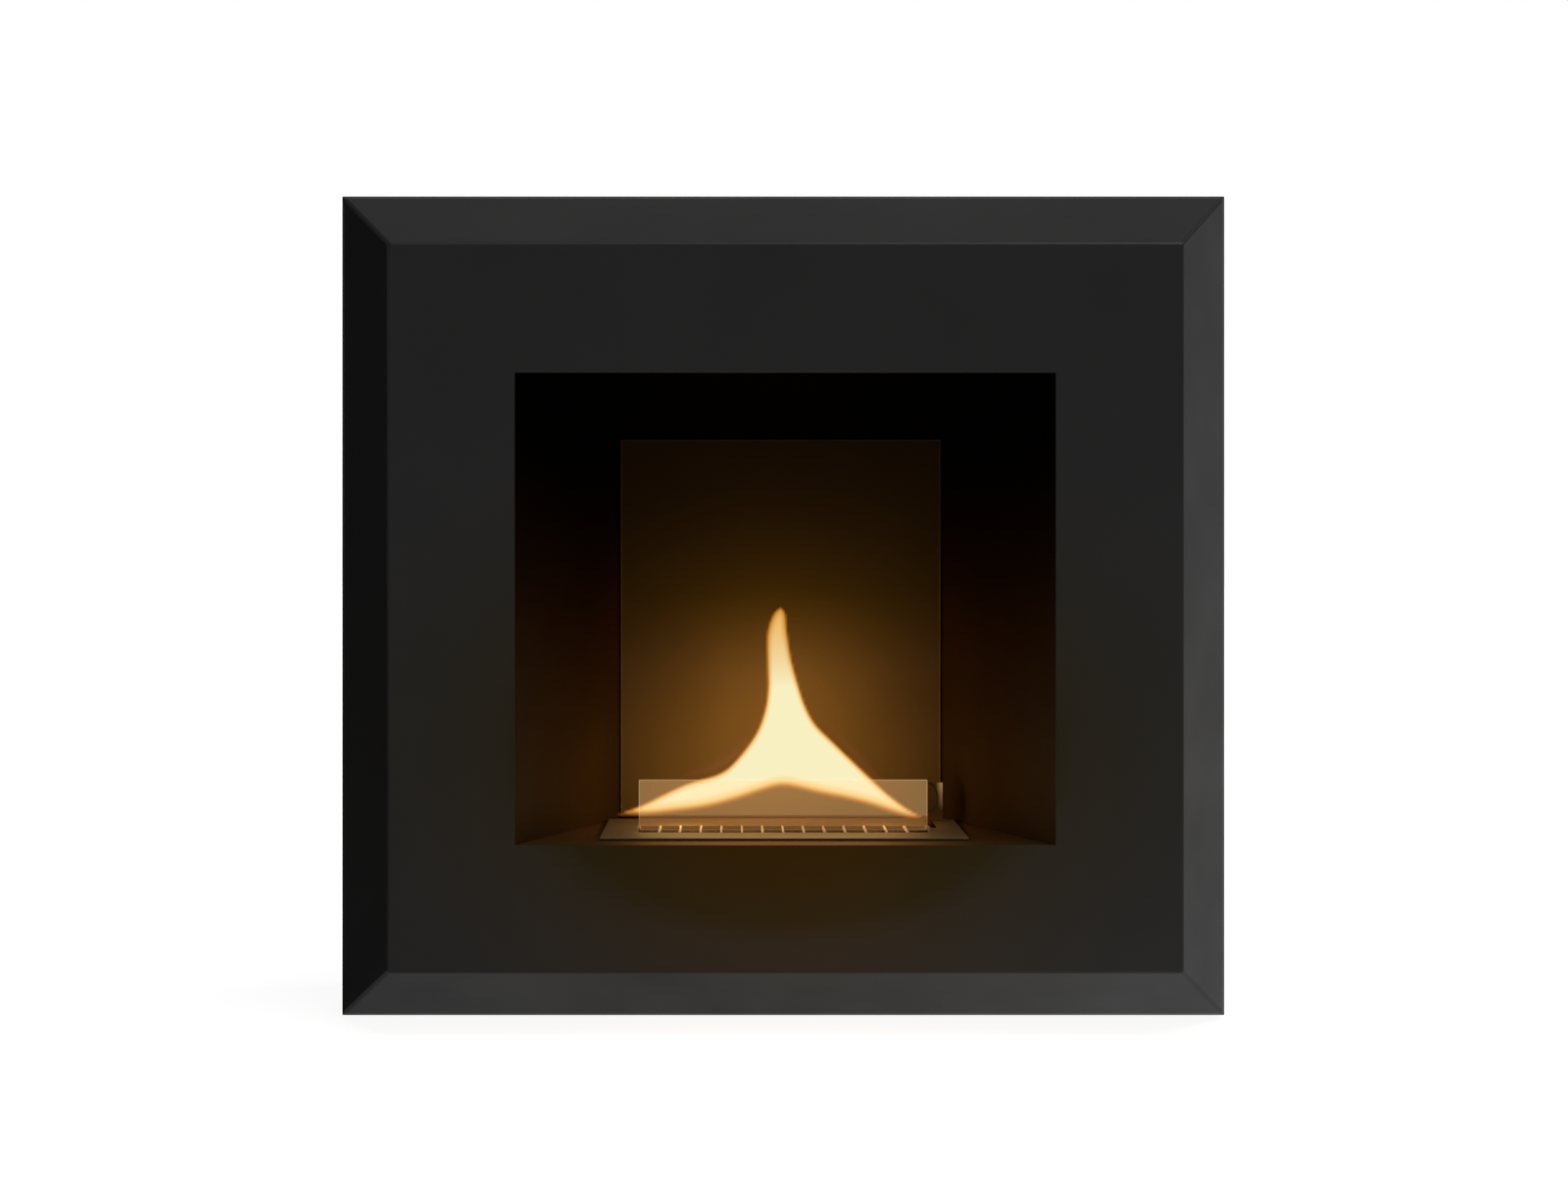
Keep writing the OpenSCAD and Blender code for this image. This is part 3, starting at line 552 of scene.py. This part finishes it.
def make_surround():
    """Folded cover with its bends, mitre grooves and the seats of its side screws."""
    bm = bmesh.new()
    rings = [[bm.verts.new(p) for p in ring_points(ring)] for ring in surround_rings()]
    count = len(rings[0])
    for ring, following in zip(rings, rings[1:] + rings[:1]):
        for k in range(count):
            j = (k + 1) % count
            bm.faces.new([ring[k], ring[j], following[j], following[k]])
    surround = mesh_object("surround", bm, [front_coat])
    cutter = mesh_object("screw_cutter", screw_cutter_mesh(), [coat])
    add_modifier(surround, "BOOLEAN", operation="DIFFERENCE", solver="EXACT", object=cutter)
    apply_modifiers(surround)
    bpy.data.objects.remove(cutter)
    add_modifier(surround, "WEIGHTED_NORMAL", keep_sharp=True)
    surround.data.set_sharp_from_angle(angle=CREASE_OVER)
    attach(surround, "cabinet")
    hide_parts("front_surround")


# Screws: turned heads with a driver's recess, standing on +Z before they are placed. In mm
TURN_STEPS = 32
SHANK_R = 2.0
SIDE_HEAD_R, SIDE_PLAY = 3.9, 0.1
SIDE_SEAT_PAST, SIDE_SEAT_IN = 2, 4
SIDE_HEX = 2.5
REAR_HEAD_R, REAR_HEAD_H = 4.0, 2.0
FOOT_HEAD_R, FOOT_HEAD_H = 4.0, 1.25
GRIP_HEAD_R, GRIP_HEAD_H, GRIP_SHANK_R = 3.0, 1.4, 1.5
CROSS, SMALL_CROSS = (1.9, 0.45), (1.45, 0.35)
PAN_PROFILE = ((1, 0), (1, 0.45), (0.93, 0.75), (0.75, 0.95), (0.55, 1))
PAN_RECESS_FLOOR = 0.35
FLUSH_SINK, FLUSH_ROUND, FLUSH_RECESS_FLOOR = 0.05, 0.1, 0.9
SCREW_CREASE_OVER = math.radians(35)


def cross_recess(arm, half_width):
    """Radius of a cross recess at each angle."""
    def radius(angle):
        c, s = abs(math.cos(angle)), abs(math.sin(angle))
        return min(arm / max(c, s), half_width / max(min(c, s), 1e-6))
    return radius


def hex_recess(across):
    """Radius of a hexagon socket at each angle."""
    def radius(angle):
        within = (angle + math.pi / 6) % (math.pi / 3) - math.pi / 6
        return across / 2 / math.cos(within)
    return radius


def turned(bm, levels, place):
    """Closed form of rings. Each level is a radius, plain or by angle, and a height, in mm."""
    rings = []
    for radius, height in levels:
        ring = []
        for k in range(TURN_STEPS):
            angle = math.tau * k / TURN_STEPS
            r = radius(angle) if callable(radius) else radius
            point = Vector((r * math.cos(angle), r * math.sin(angle), height)) * MM
            ring.append(bm.verts.new(place @ point))
        rings.append(ring)
    for ring, following in zip(rings, rings[1:]):
        for k in range(TURN_STEPS):
            j = (k + 1) % TURN_STEPS
            bm.faces.new([ring[k], ring[j], following[j], following[k]])
    bm.faces.new(rings[0])
    bm.faces.new(rings[-1])


def pan_head(head_r, head_h, shank_r, shank_l, recess):
    """Levels of a screw whose domed head stands on z = 0."""
    dome = [(across * head_r, up * head_h) for across, up in PAN_PROFILE]
    return [(shank_r, -shank_l), (shank_r, 0), *dome, (recess, head_h), (recess, PAN_RECESS_FLOOR * head_h)]


def flush_head(head_r, head_h, shank_r, shank_l, recess):
    """Levels of a countersunk screw whose head ends just below z = 0."""
    return [(shank_r, -shank_l), (shank_r, -head_h), (head_r, -FLUSH_SINK - FLUSH_ROUND),
            (head_r - FLUSH_ROUND, -FLUSH_SINK), (recess, -FLUSH_SINK), (recess, -FLUSH_RECESS_FLOOR)]


def place_at(point, outward):
    """Turns +Z to outward and moves the origin to the point."""
    return Matrix.Translation(point) @ Vector(outward).to_track_quat("Z", "Y").to_matrix().to_4x4()


def solid_boxes(node):
    """Lowest and highest corner of each separate solid of a CAD node, in the same order in each run."""
    bm = bmesh.new()
    bm.from_mesh(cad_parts[node].data)
    bmesh.ops.remove_doubles(bm, verts=bm.verts, dist=WELD_WITHIN)
    left, boxes = set(bm.verts), []
    while left:
        group, edge = set(), [left.pop()]
        while edge:
            v = edge.pop()
            group.add(v)
            near = {e.other_vert(v) for e in v.link_edges} & left
            left -= near
            edge += near
        corners = np.array([v.co for v in group])
        boxes.append((Vector(corners.min(0)), Vector(corners.max(0))))
    bm.free()
    return sorted(boxes, key=lambda box: tuple(box[0]))


def side_screw_places():
    """Place and length of each screw in the surround's sides."""
    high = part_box("surround_screws")[1]
    for lo, hi in solid_boxes("surround_screws"):
        middle = (lo + hi) / 2
        side = 1 if middle.x > 0 else -1
        yield place_at((side * high.x, middle.y, middle.z), (side, 0, 0)), (hi.x - lo.x) / MM


def screw_cutter_mesh():
    """What the side screws' seats cut out of the surround."""
    bm = bmesh.new()
    hole_r, seat_r = SHANK_R + SIDE_PLAY, SIDE_HEAD_R + SIDE_PLAY
    for place, _ in side_screw_places():
        turned(bm, [(hole_r, -SIDE_SEAT_IN), (hole_r, -SHEET_T), (seat_r, 0), (seat_r, SIDE_SEAT_PAST)],
               place)
    return bm


def pan_screws(name, node, body, outward, head_r, head_h, shank_r, cross):
    """One piece with all pan-head screws of a node, whose heads end where its solids end."""
    bm = bmesh.new()
    outward = Vector(outward)
    for lo, hi in solid_boxes(node):
        middle = (lo + hi) / 2
        half = abs((hi - lo) @ outward) / 2
        seat = middle + outward * (half - head_h * MM)
        shank_l = 2 * half / MM - head_h
        turned(bm, pan_head(head_r, head_h, shank_r, shank_l, cross_recess(*cross)), place_at(seat, outward))
    finish_screws(name, bm, node, screw_zinc, body)


def make_screws():
    bm = bmesh.new()
    for place, length in side_screw_places():
        turned(bm, flush_head(SIDE_HEAD_R, SHEET_T, SHANK_R, length, hex_recess(SIDE_HEX)), place)
    finish_screws("side_screws", bm, "surround_screws", coat, "cabinet")
    pan_screws("rear_screws", "rear_cover_screws", "cabinet", (0, 1, 0),
               REAR_HEAD_R, REAR_HEAD_H, SHANK_R, CROSS)
    pan_screws("foot_fixings", "foot_screws", "cabinet", (0, 0, -1),
               FOOT_HEAD_R, FOOT_HEAD_H, SHANK_R, CROSS)
    pan_screws("grip_fixing", "grip_screw", "shutter", (0, 1, 0),
               GRIP_HEAD_R, GRIP_HEAD_H, GRIP_SHANK_R, SMALL_CROSS)


def finish_screws(name, bm, node, material, body):
    screws = mesh_object(name, bm, [material])
    screws.data.set_sharp_from_angle(angle=SCREW_CREASE_OVER)
    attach(screws, body)
    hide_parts(node)


# Ceramic wool: a fibre block with a torn, lumpy top. Lengths in mm, lumps and shreds per metre
WOOL_CELL = 4.0
WOOL_LUMP = 2.2
LUMPS, SHREDS = 70, 260
SHRED_SHARE = 0.35
SIDE_SHARE = 0.5


def make_wool():
    low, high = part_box("ceramic_wool")
    size, middle = high - low, (low + high) / 2
    cuts = [max(2, round(side / MM / WOOL_CELL)) for side in size]
    bm = bmesh.new()
    index = {}

    def vert(i, j, k):
        if (i, j, k) not in index:
            share = Vector((i / cuts[0], j / cuts[1], k / cuts[2]))
            p = Vector([low[a] + size[a] * share[a] for a in range(3)])
            rough = 0.5 + 0.5 * noise.noise(p * LUMPS) + SHRED_SHARE * noise.noise(p * SHREDS)
            lump = WOOL_LUMP * MM * rough
            if k == cuts[2]:
                p.z -= max(0, lump)
            if k > 0 and (i in (0, cuts[0]) or j in (0, cuts[1])):
                inward = (Vector((middle.x, middle.y, p.z)) - p).normalized()
                p += inward * max(0, lump) * SIDE_SHARE
            index[i, j, k] = bm.verts.new(p)
        return index[i, j, k]

    for axis in range(3):
        a, b = [n for n in range(3) if n != axis]
        for end in (0, cuts[axis]):
            for m in range(cuts[a]):
                for n in range(cuts[b]):
                    ring = []
                    for dm, dn in ((0, 0), (1, 0), (1, 1), (0, 1)):
                        at = [0, 0, 0]
                        at[axis], at[a], at[b] = end, m + dm, n + dn
                        ring.append(vert(*at))
                    bm.faces.new(ring)
    wool = mesh_object("wool_block", bm, [fibre])
    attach(wool, "burner")
    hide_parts("ceramic_wool")


# Dark strip in the corner at the foot of the back panel: painted shade where the panel meets the hearth. In
# mm
SHADOW_STRIP_R = 1.4
SHADOW_STRIP_TIP_R, SHADOW_STRIP_TIP_L = 0.6 * SHADOW_STRIP_R, 0.6


def make_shadow_strip():
    low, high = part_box("back_panel")
    bm = bmesh.new()
    length = (high.x - low.x) / MM
    place = place_at(Vector((high.x, low.y - SHADOW_STRIP_R * MM, low.z + SHADOW_STRIP_R * MM)), (1, 0, 0))
    turned(bm, [(SHADOW_STRIP_TIP_R, -length), (SHADOW_STRIP_R, -length + SHADOW_STRIP_TIP_L), (SHADOW_STRIP_R, -SHADOW_STRIP_TIP_L),
                (SHADOW_STRIP_TIP_R, 0)], place)
    # Near-black strip: painted shade at the panel's foot
    shadow_strip = mesh_object("panel_shadow_strip", bm, [shadow_strip_black])
    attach(shadow_strip, "cabinet")


# Flame: outline in mm from the middle of its foot, X to the right, Z up. A fade is the distance from the
# outline at which the glow is full, and between the tip's heights the flame turns from hot to cool
FLAME_LEFT = [(-1.5, 178), (-8, 172), (-13, 156), (-13, 130), (-12.8, 112), (-15.5, 94), (-23, 75),
              (-39, 54), (-52, 44), (-76, 36.5), (-94, 28.5), (-112, 19.5), (-134, 10.5)]
FLAME_UNDER = [(-134, 10.5), (-111, 9.5), (-88, 11.5), (-62, 15), (-40, 20.5), (-20, 27), (-5, 31.5),
               (6, 31.5), (30, 26), (50, 22), (70, 17), (90, 10.5), (104, 7), (114.5, 7.5)]
FLAME_RIGHT = [(114.5, 7.5), (97.5, 18), (84, 28.5), (70, 41.5), (42.5, 68), (27, 83.5), (19, 98),
               (13.5, 114), (7.5, 136), (4, 158), (2.5, 172), (-1.5, 178)]
VEIL_LEFT = [(-92, 38), (-60, 55), (-32, 74), (-20, 86), (-24, 62), (-50, 42), (-92, 38)]
VEIL_RIGHT = [(26, 98), (44, 80), (64, 60), (82, 38), (70, 38), (50, 60), (26, 98)]
FLAME_CELL = 2.0
FLAME_THICK, VEIL_THICK = 16.0, 6.0
EDGE_FADE, UNDER_FADE, VEIL_FADE = 6.0, 14.0, 9.0
LENS_SHARE = 0.6
TIP_LOW, TIP_HIGH = 112.0, 180.0
WARMTH_POWER = 1.6
CURVE_STEPS = 8
NOTHING, SLIVER = 1e-9, 1e-7


def curve_through(points):
    """Points along a Catmull-Rom curve through the given ones, without the last."""
    p = [np.array(q, float) for q in points]
    p = [2 * p[0] - p[1], *p, 2 * p[-1] - p[-2]]
    made = []
    for a, b, c, d in zip(p, p[1:], p[2:], p[3:]):
        for k in range(CURVE_STEPS):
            t = k / CURVE_STEPS
            made.append(0.5 * (2 * b + (c - a) * t + (2 * a - 5 * b + 4 * c - d) * t * t
                               + (3 * b - 3 * c + d - a) * t ** 3))
    return made


def distance_to(points, line):
    """Distance of each point to an open line."""
    a, b = np.array(line[:-1]), np.array(line[1:])
    edge = b - a
    rel = points[:, None, :] - a[None]
    t = np.clip((rel * edge).sum(2) / np.maximum((edge ** 2).sum(1), NOTHING), 0, 1)
    return np.linalg.norm(rel - t[..., None] * edge, axis=2).min(1)


def is_inside(points, outline):
    """Whether each point lies inside a closed outline."""
    a = np.array(outline)
    b = np.roll(a, -1, axis=0)
    x, z = points[:, 0, None], points[:, 1, None]
    rise = np.where(a[:, 1] == b[:, 1], NOTHING, b[:, 1] - a[:, 1])
    crosses = (a[:, 1] > z) != (b[:, 1] > z)
    at = a[:, 0] + (z - a[:, 1]) / rise * (b[:, 0] - a[:, 0])
    return (crosses & (x < at)).sum(1) % 2 == 1


def sheet_of_light(bm, lines, fades, centre, thick):
    """Thin lens inside the closed outline that the lines make. Its depth runs from 0 at them to 1 at the
    distance that fades gives for each, and its warmth from 0 at the flame's tip to 1 below."""
    outline = np.array([p for line in lines for p in line])
    low, high = outline.min(0) - 2 * FLAME_CELL, outline.max(0) + 2 * FLAME_CELL
    xs, zs = np.arange(low[0], high[0], FLAME_CELL), np.arange(low[1], high[1], FLAME_CELL)
    grid = np.array([(x, z) for z in zs for x in xs])
    ends = [np.array([*line, following[0]]) for line, following in zip(lines, lines[1:] + lines[:1])]
    share = np.min([distance_to(grid, line) / fade for line, fade in zip(ends, fades)], axis=0)
    depth = np.where(is_inside(grid, outline), np.clip(share, 0, 1), 0)
    bulge = thick / 2 * np.sqrt(1 - (1 - np.clip(depth * LENS_SHARE, 0, 1)) ** 2)
    depth_layer = bm.verts.layers.float["depth"]
    warmth_layer = bm.verts.layers.float["warmth"]
    verts = {}

    def vert(i, j, side):
        k = j * len(xs) + i
        key = (k, side if depth[k] > 0 else 0)
        if key not in verts:
            x, z = grid[k]
            v = bm.verts.new(Vector((x, key[1] * bulge[k], z)) * MM + centre)
            v[depth_layer] = depth[k]
            v[warmth_layer] = np.clip((TIP_HIGH - z) / (TIP_HIGH - TIP_LOW), 0, 1) ** WARMTH_POWER
            verts[key] = v
        return verts[key]

    lit = depth.reshape(len(zs), len(xs)) > 0
    for j in range(len(zs) - 1):
        for i in range(len(xs) - 1):
            corners = [(i, j), (i + 1, j), (i + 1, j + 1), (i, j + 1)]
            inner = [k for k, (a, b) in enumerate(corners) if lit[b, a]]
            if len(inner) == 1:
                corners = [corners[(inner[0] + k) % 4] for k in (-1, 0, 1)]
            if inner:
                for side in (-1, 1):
                    bm.faces.new([vert(a, b, side) for a, b in corners])


def light_material(name, cool, hot, alphas):
    """Unlit glow. Colours run from the edge inward, at the tip and in the hot part below it."""
    s = Shader(bpy.data.materials.new(name))
    depth = s.node("Attribute", attribute_name="depth").outputs["Fac"]
    warmth = s.node("Attribute", attribute_name="warmth").outputs["Fac"]
    blend = s.node("Mix", data_type="RGBA")
    s.link(warmth, blend.inputs[0])
    s.link(s.ramp(depth, cool), blend.inputs[6])
    s.link(s.ramp(depth, hot), blend.inputs[7])
    glow = s.node("Emission", Strength=1.0)
    s.link(blend.outputs[2], glow.inputs["Color"])
    opacity = s.ramp(depth, [(at, (alpha,) * 3) for at, alpha in alphas])
    s.show_mix(opacity, s.node("BsdfTransparent"), glow)
    return s.owner


def flame_middle():
    """Middle of the flame's foot, at two thirds of the mouth's depth."""
    bars_low, bars_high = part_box("burner_bars")
    return Vector((0, (bars_low.y + 2 * bars_high.y) / 3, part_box("burner_plate")[1].z))


def flame_piece(name, sheets, material):
    bm = bmesh.new()
    bm.verts.layers.float.new("depth")
    bm.verts.layers.float.new("warmth")
    for lines, fades, thick in sheets:
        sheet_of_light(bm, lines, fades, flame_middle(), thick)
    bmesh.ops.dissolve_degenerate(bm, edges=bm.edges, dist=SLIVER)
    piece = mesh_object(name, bm, [material])
    piece.visible_shadow = False
    piece.visible_diffuse = False
    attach(piece, "burner")


def make_flame():
    lines = [curve_through(FLAME_LEFT), curve_through(FLAME_UNDER), curve_through(FLAME_RIGHT)]
    edge = (0.0, (0.42, 0.12, 0.01))
    hot = [edge, (0.20, (0.66, 0.26, 0.04)), (0.45, (0.94, 0.66, 0.25)), (0.80, (0.95, 0.875, 0.54))]
    cool = [edge, (0.20, (0.50, 0.19, 0.02)), (0.50, (0.70, 0.33, 0.05)), (0.95, (0.84, 0.48, 0.12))]
    body = light_material("flame_light", cool, hot, [(0.0, 0.0), (0.14, 0.35), (0.30, 0.85), (0.42, 1.0)])
    flame_piece("flame", [(lines, (EDGE_FADE, UNDER_FADE, EDGE_FADE), FLAME_THICK)], body)
    faint = [(0.0, (0.20, 0.06, 0.015)), (1.0, (0.26, 0.09, 0.03))]
    veil = light_material("veil_light", faint, faint, [(0.0, 0.0), (1.0, 0.22)])
    sheets = [([curve_through(outline)], (VEIL_FADE,), VEIL_THICK) for outline in (VEIL_LEFT, VEIL_RIGHT)]
    flame_piece("flame_veil", sheets, veil)


# Floor and world. Lengths in metres. FLOOR_GLOW runs along GLOW_HEADING, and only the object mirrors it
FLOOR_REACH = 30
FLOOR_WHITE_FROM, FLOOR_WHITE_TO = 1.0, 3.0
FLOOR_NEAR = 0.92
SHADE_GREY, MIRRORED_GREY = (0.22, 0.22, 0.22, 1), (0.06, 0.06, 0.06, 1)
WHITE = (1, 1, 1, 1)
GLOW_HEADING = (1, -0.6, 0)
FLOOR_GLOW = [(0.0, (0, 0, 0)), (0.06, (0.33, 0.33, 0.33)), (0.5, (0.35, 0.35, 0.35)),
              (1.0, (0.52, 0.52, 0.52))]
WORLD_DIM = 0.02


def shaded_white(s, place):
    """White that takes the object's shadow and is a little darker near the object."""
    away = s.node("VectorMath", operation="LENGTH")
    s.link(place, away.inputs[0])
    level = s.node("MapRange", From_Min=FLOOR_WHITE_FROM, From_Max=FLOOR_WHITE_TO, To_Min=FLOOR_NEAR)
    s.link(away.outputs["Value"], level.inputs["Value"])
    white = s.node("Emission", Color=WHITE)
    s.link(level.outputs[0], white.inputs["Strength"])
    return s.both(white, s.node("BsdfDiffuse", Color=SHADE_GREY))


def mirrored_floor(s, place, rays):
    """Dark grey, with a glow that grows to the right of the object."""
    ahead = s.node("VectorMath", operation="DOT_PRODUCT")
    ahead.inputs[1].default_value = GLOW_HEADING
    s.link(place, ahead.inputs[0])
    across = s.node("MapRange", From_Min=cad_low.x, From_Max=cad_high.x)
    s.link(ahead.outputs["Value"], across.inputs["Value"])
    level = s.ramp(across.outputs[0], FLOOR_GLOW)
    glow = s.node("Emission", Color=WHITE)
    s.link(s.calculate("MULTIPLY", level, rays.outputs["Is Glossy Ray"]), glow.inputs["Strength"])
    return s.both(s.node("BsdfDiffuse", Color=MIRRORED_GREY), glow)


def make_floor():
    mesh = bpy.data.meshes.new("floor")
    r = FLOOR_REACH
    mesh.from_pydata([(-r, -r, 0), (r, -r, 0), (r, r, 0), (-r, r, 0)], [], [(0, 1, 2, 3)])
    floor = add_object("floor", mesh)
    s = Shader(bpy.data.materials.new("floor"))
    rays, place = s.node("LightPath"), s.position()
    s.show_mix(s.seen(rays), mirrored_floor(s, place, rays), shaded_white(s, place))
    mesh.materials.append(s.owner)


# Soft glows of the world: direction, cosine of the angle at the rim, and strength
SOFT_GLOWS = [
    ((0.889, 0.457, -0.45), 0.40, 0.49),
    ((0.0, 0.457, 0.889), 0.60, 0.15),
    ((-0.45, -0.89, 0.05), 0.85, 0.32),
    ((0.28, -0.62, 0.76), 0.84, 1.1),
    ((0.42, -0.25, 0.88), 0.93, 2.9),
    ((-1.0, -0.30, 0.12), 0.89, 0.60),
    ((0.0, 1.0, 0.1), 0.82, 0.8),
]


def soft_glow(s, direction, rim, strength):
    facing = s.node("VectorMath", operation="DOT_PRODUCT")
    facing.inputs[1].default_value = Vector(direction).normalized()
    s.link(s.node("TexCoord").outputs["Generated"], facing.inputs[0])
    patch = s.node("MapRange", interpolation_type="SMOOTHSTEP", From_Min=rim, To_Max=strength)
    s.link(facing.outputs["Value"], patch.inputs["Value"])
    return patch.outputs[0]


def make_world():
    """White for the camera. The light on the object is dim, with soft glows on all sides."""
    world = bpy.data.worlds.new("studio")
    bpy.context.scene.world = world
    s = Shader(world, "OutputWorld")
    level = WORLD_DIM
    for direction, rim, strength in SOFT_GLOWS:
        level = s.calculate("ADD", level, soft_glow(s, direction, rim, strength))
    studio = s.node("Background", Color=WHITE)
    s.link(level, studio.inputs["Strength"])
    s.show_mix(s.seen(s.node("LightPath")), studio, s.node("Background", Color=WHITE))


# Lamps, with places and sizes in metres and power in watts. All but the key light are the fire's light.
# FLAME_HEART and FLAME_NECK are measured from the flame's foot, and FOOT_LAMPS are pairs of X and power
WARM, EMBER, PLAIN = (1.0, 0.46, 0.10), (1.0, 0.35, 0.04), (1, 1, 1)
FLAME_HEART, FLAME_NECK = Vector((-0.01, 0, 0.050)), Vector((0, 0.024, 0.090))
FOOT_LAMPS = ((-0.08, 0.42), (0.08, 0.27))
HEARTH_DROP, HEARTH_AHEAD = 0.03, 0.20
KEY_PLACE = (0.25, -0.12, 2.3)


def lamp(name, kind, place, power, colour, size, target=None):
    """Lamp that lights the object, but that neither the camera nor a glossy surface shows."""
    light = bpy.data.lights.new(name, kind)
    light.energy = power
    light.color = colour
    if kind == "AREA":
        light.shape = "RECTANGLE"
        light.size, light.size_y = size
    else:
        light.shadow_soft_size = size
    obj = add_object(name, light)
    obj.location = place
    if target is not None:
        obj.rotation_euler = (Vector(target) - Vector(place)).to_track_quat("-Z", "Y").to_euler()
    obj.visible_camera = False
    obj.visible_glossy = False


def make_lamps():
    """The fire's light on the firebox and the face, and the light from above."""
    foot = flame_middle()
    lamp("flame_lamp", "POINT", foot + FLAME_HEART, 0.46, WARM, 0.022)
    for x, power in FOOT_LAMPS:
        lamp("foot_lamp", "POINT", foot + Vector((x, 0.012, 0.026)), power, WARM, 0.010)
    neck = foot + FLAME_NECK
    lamp("panel_glow", "AREA", neck, 0.38, WARM, (0.09, 0.13), neck + Vector((0, 1, 0)))
    face = Vector((0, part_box("front_surround")[0].y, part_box("burner_plate")[0].z - HEARTH_DROP))
    lamp("hearth_glow", "AREA", face - Vector((0, HEARTH_AHEAD, 0)), 0.42, EMBER, (0.20, 0.08), face)
    middle = Vector((0, 0, (cad_low.z + cad_high.z) / 2))
    lamp("key", "AREA", KEY_PLACE, 26, PLAIN, (1.5, 0.3), middle)


make_camera()
finish_cad_nodes()
make_surround()
make_screws()
make_wool()
make_shadow_strip()
make_flame()
make_floor()
make_world()
make_lamps()
bpy.context.scene.view_settings.view_transform = "Standard"
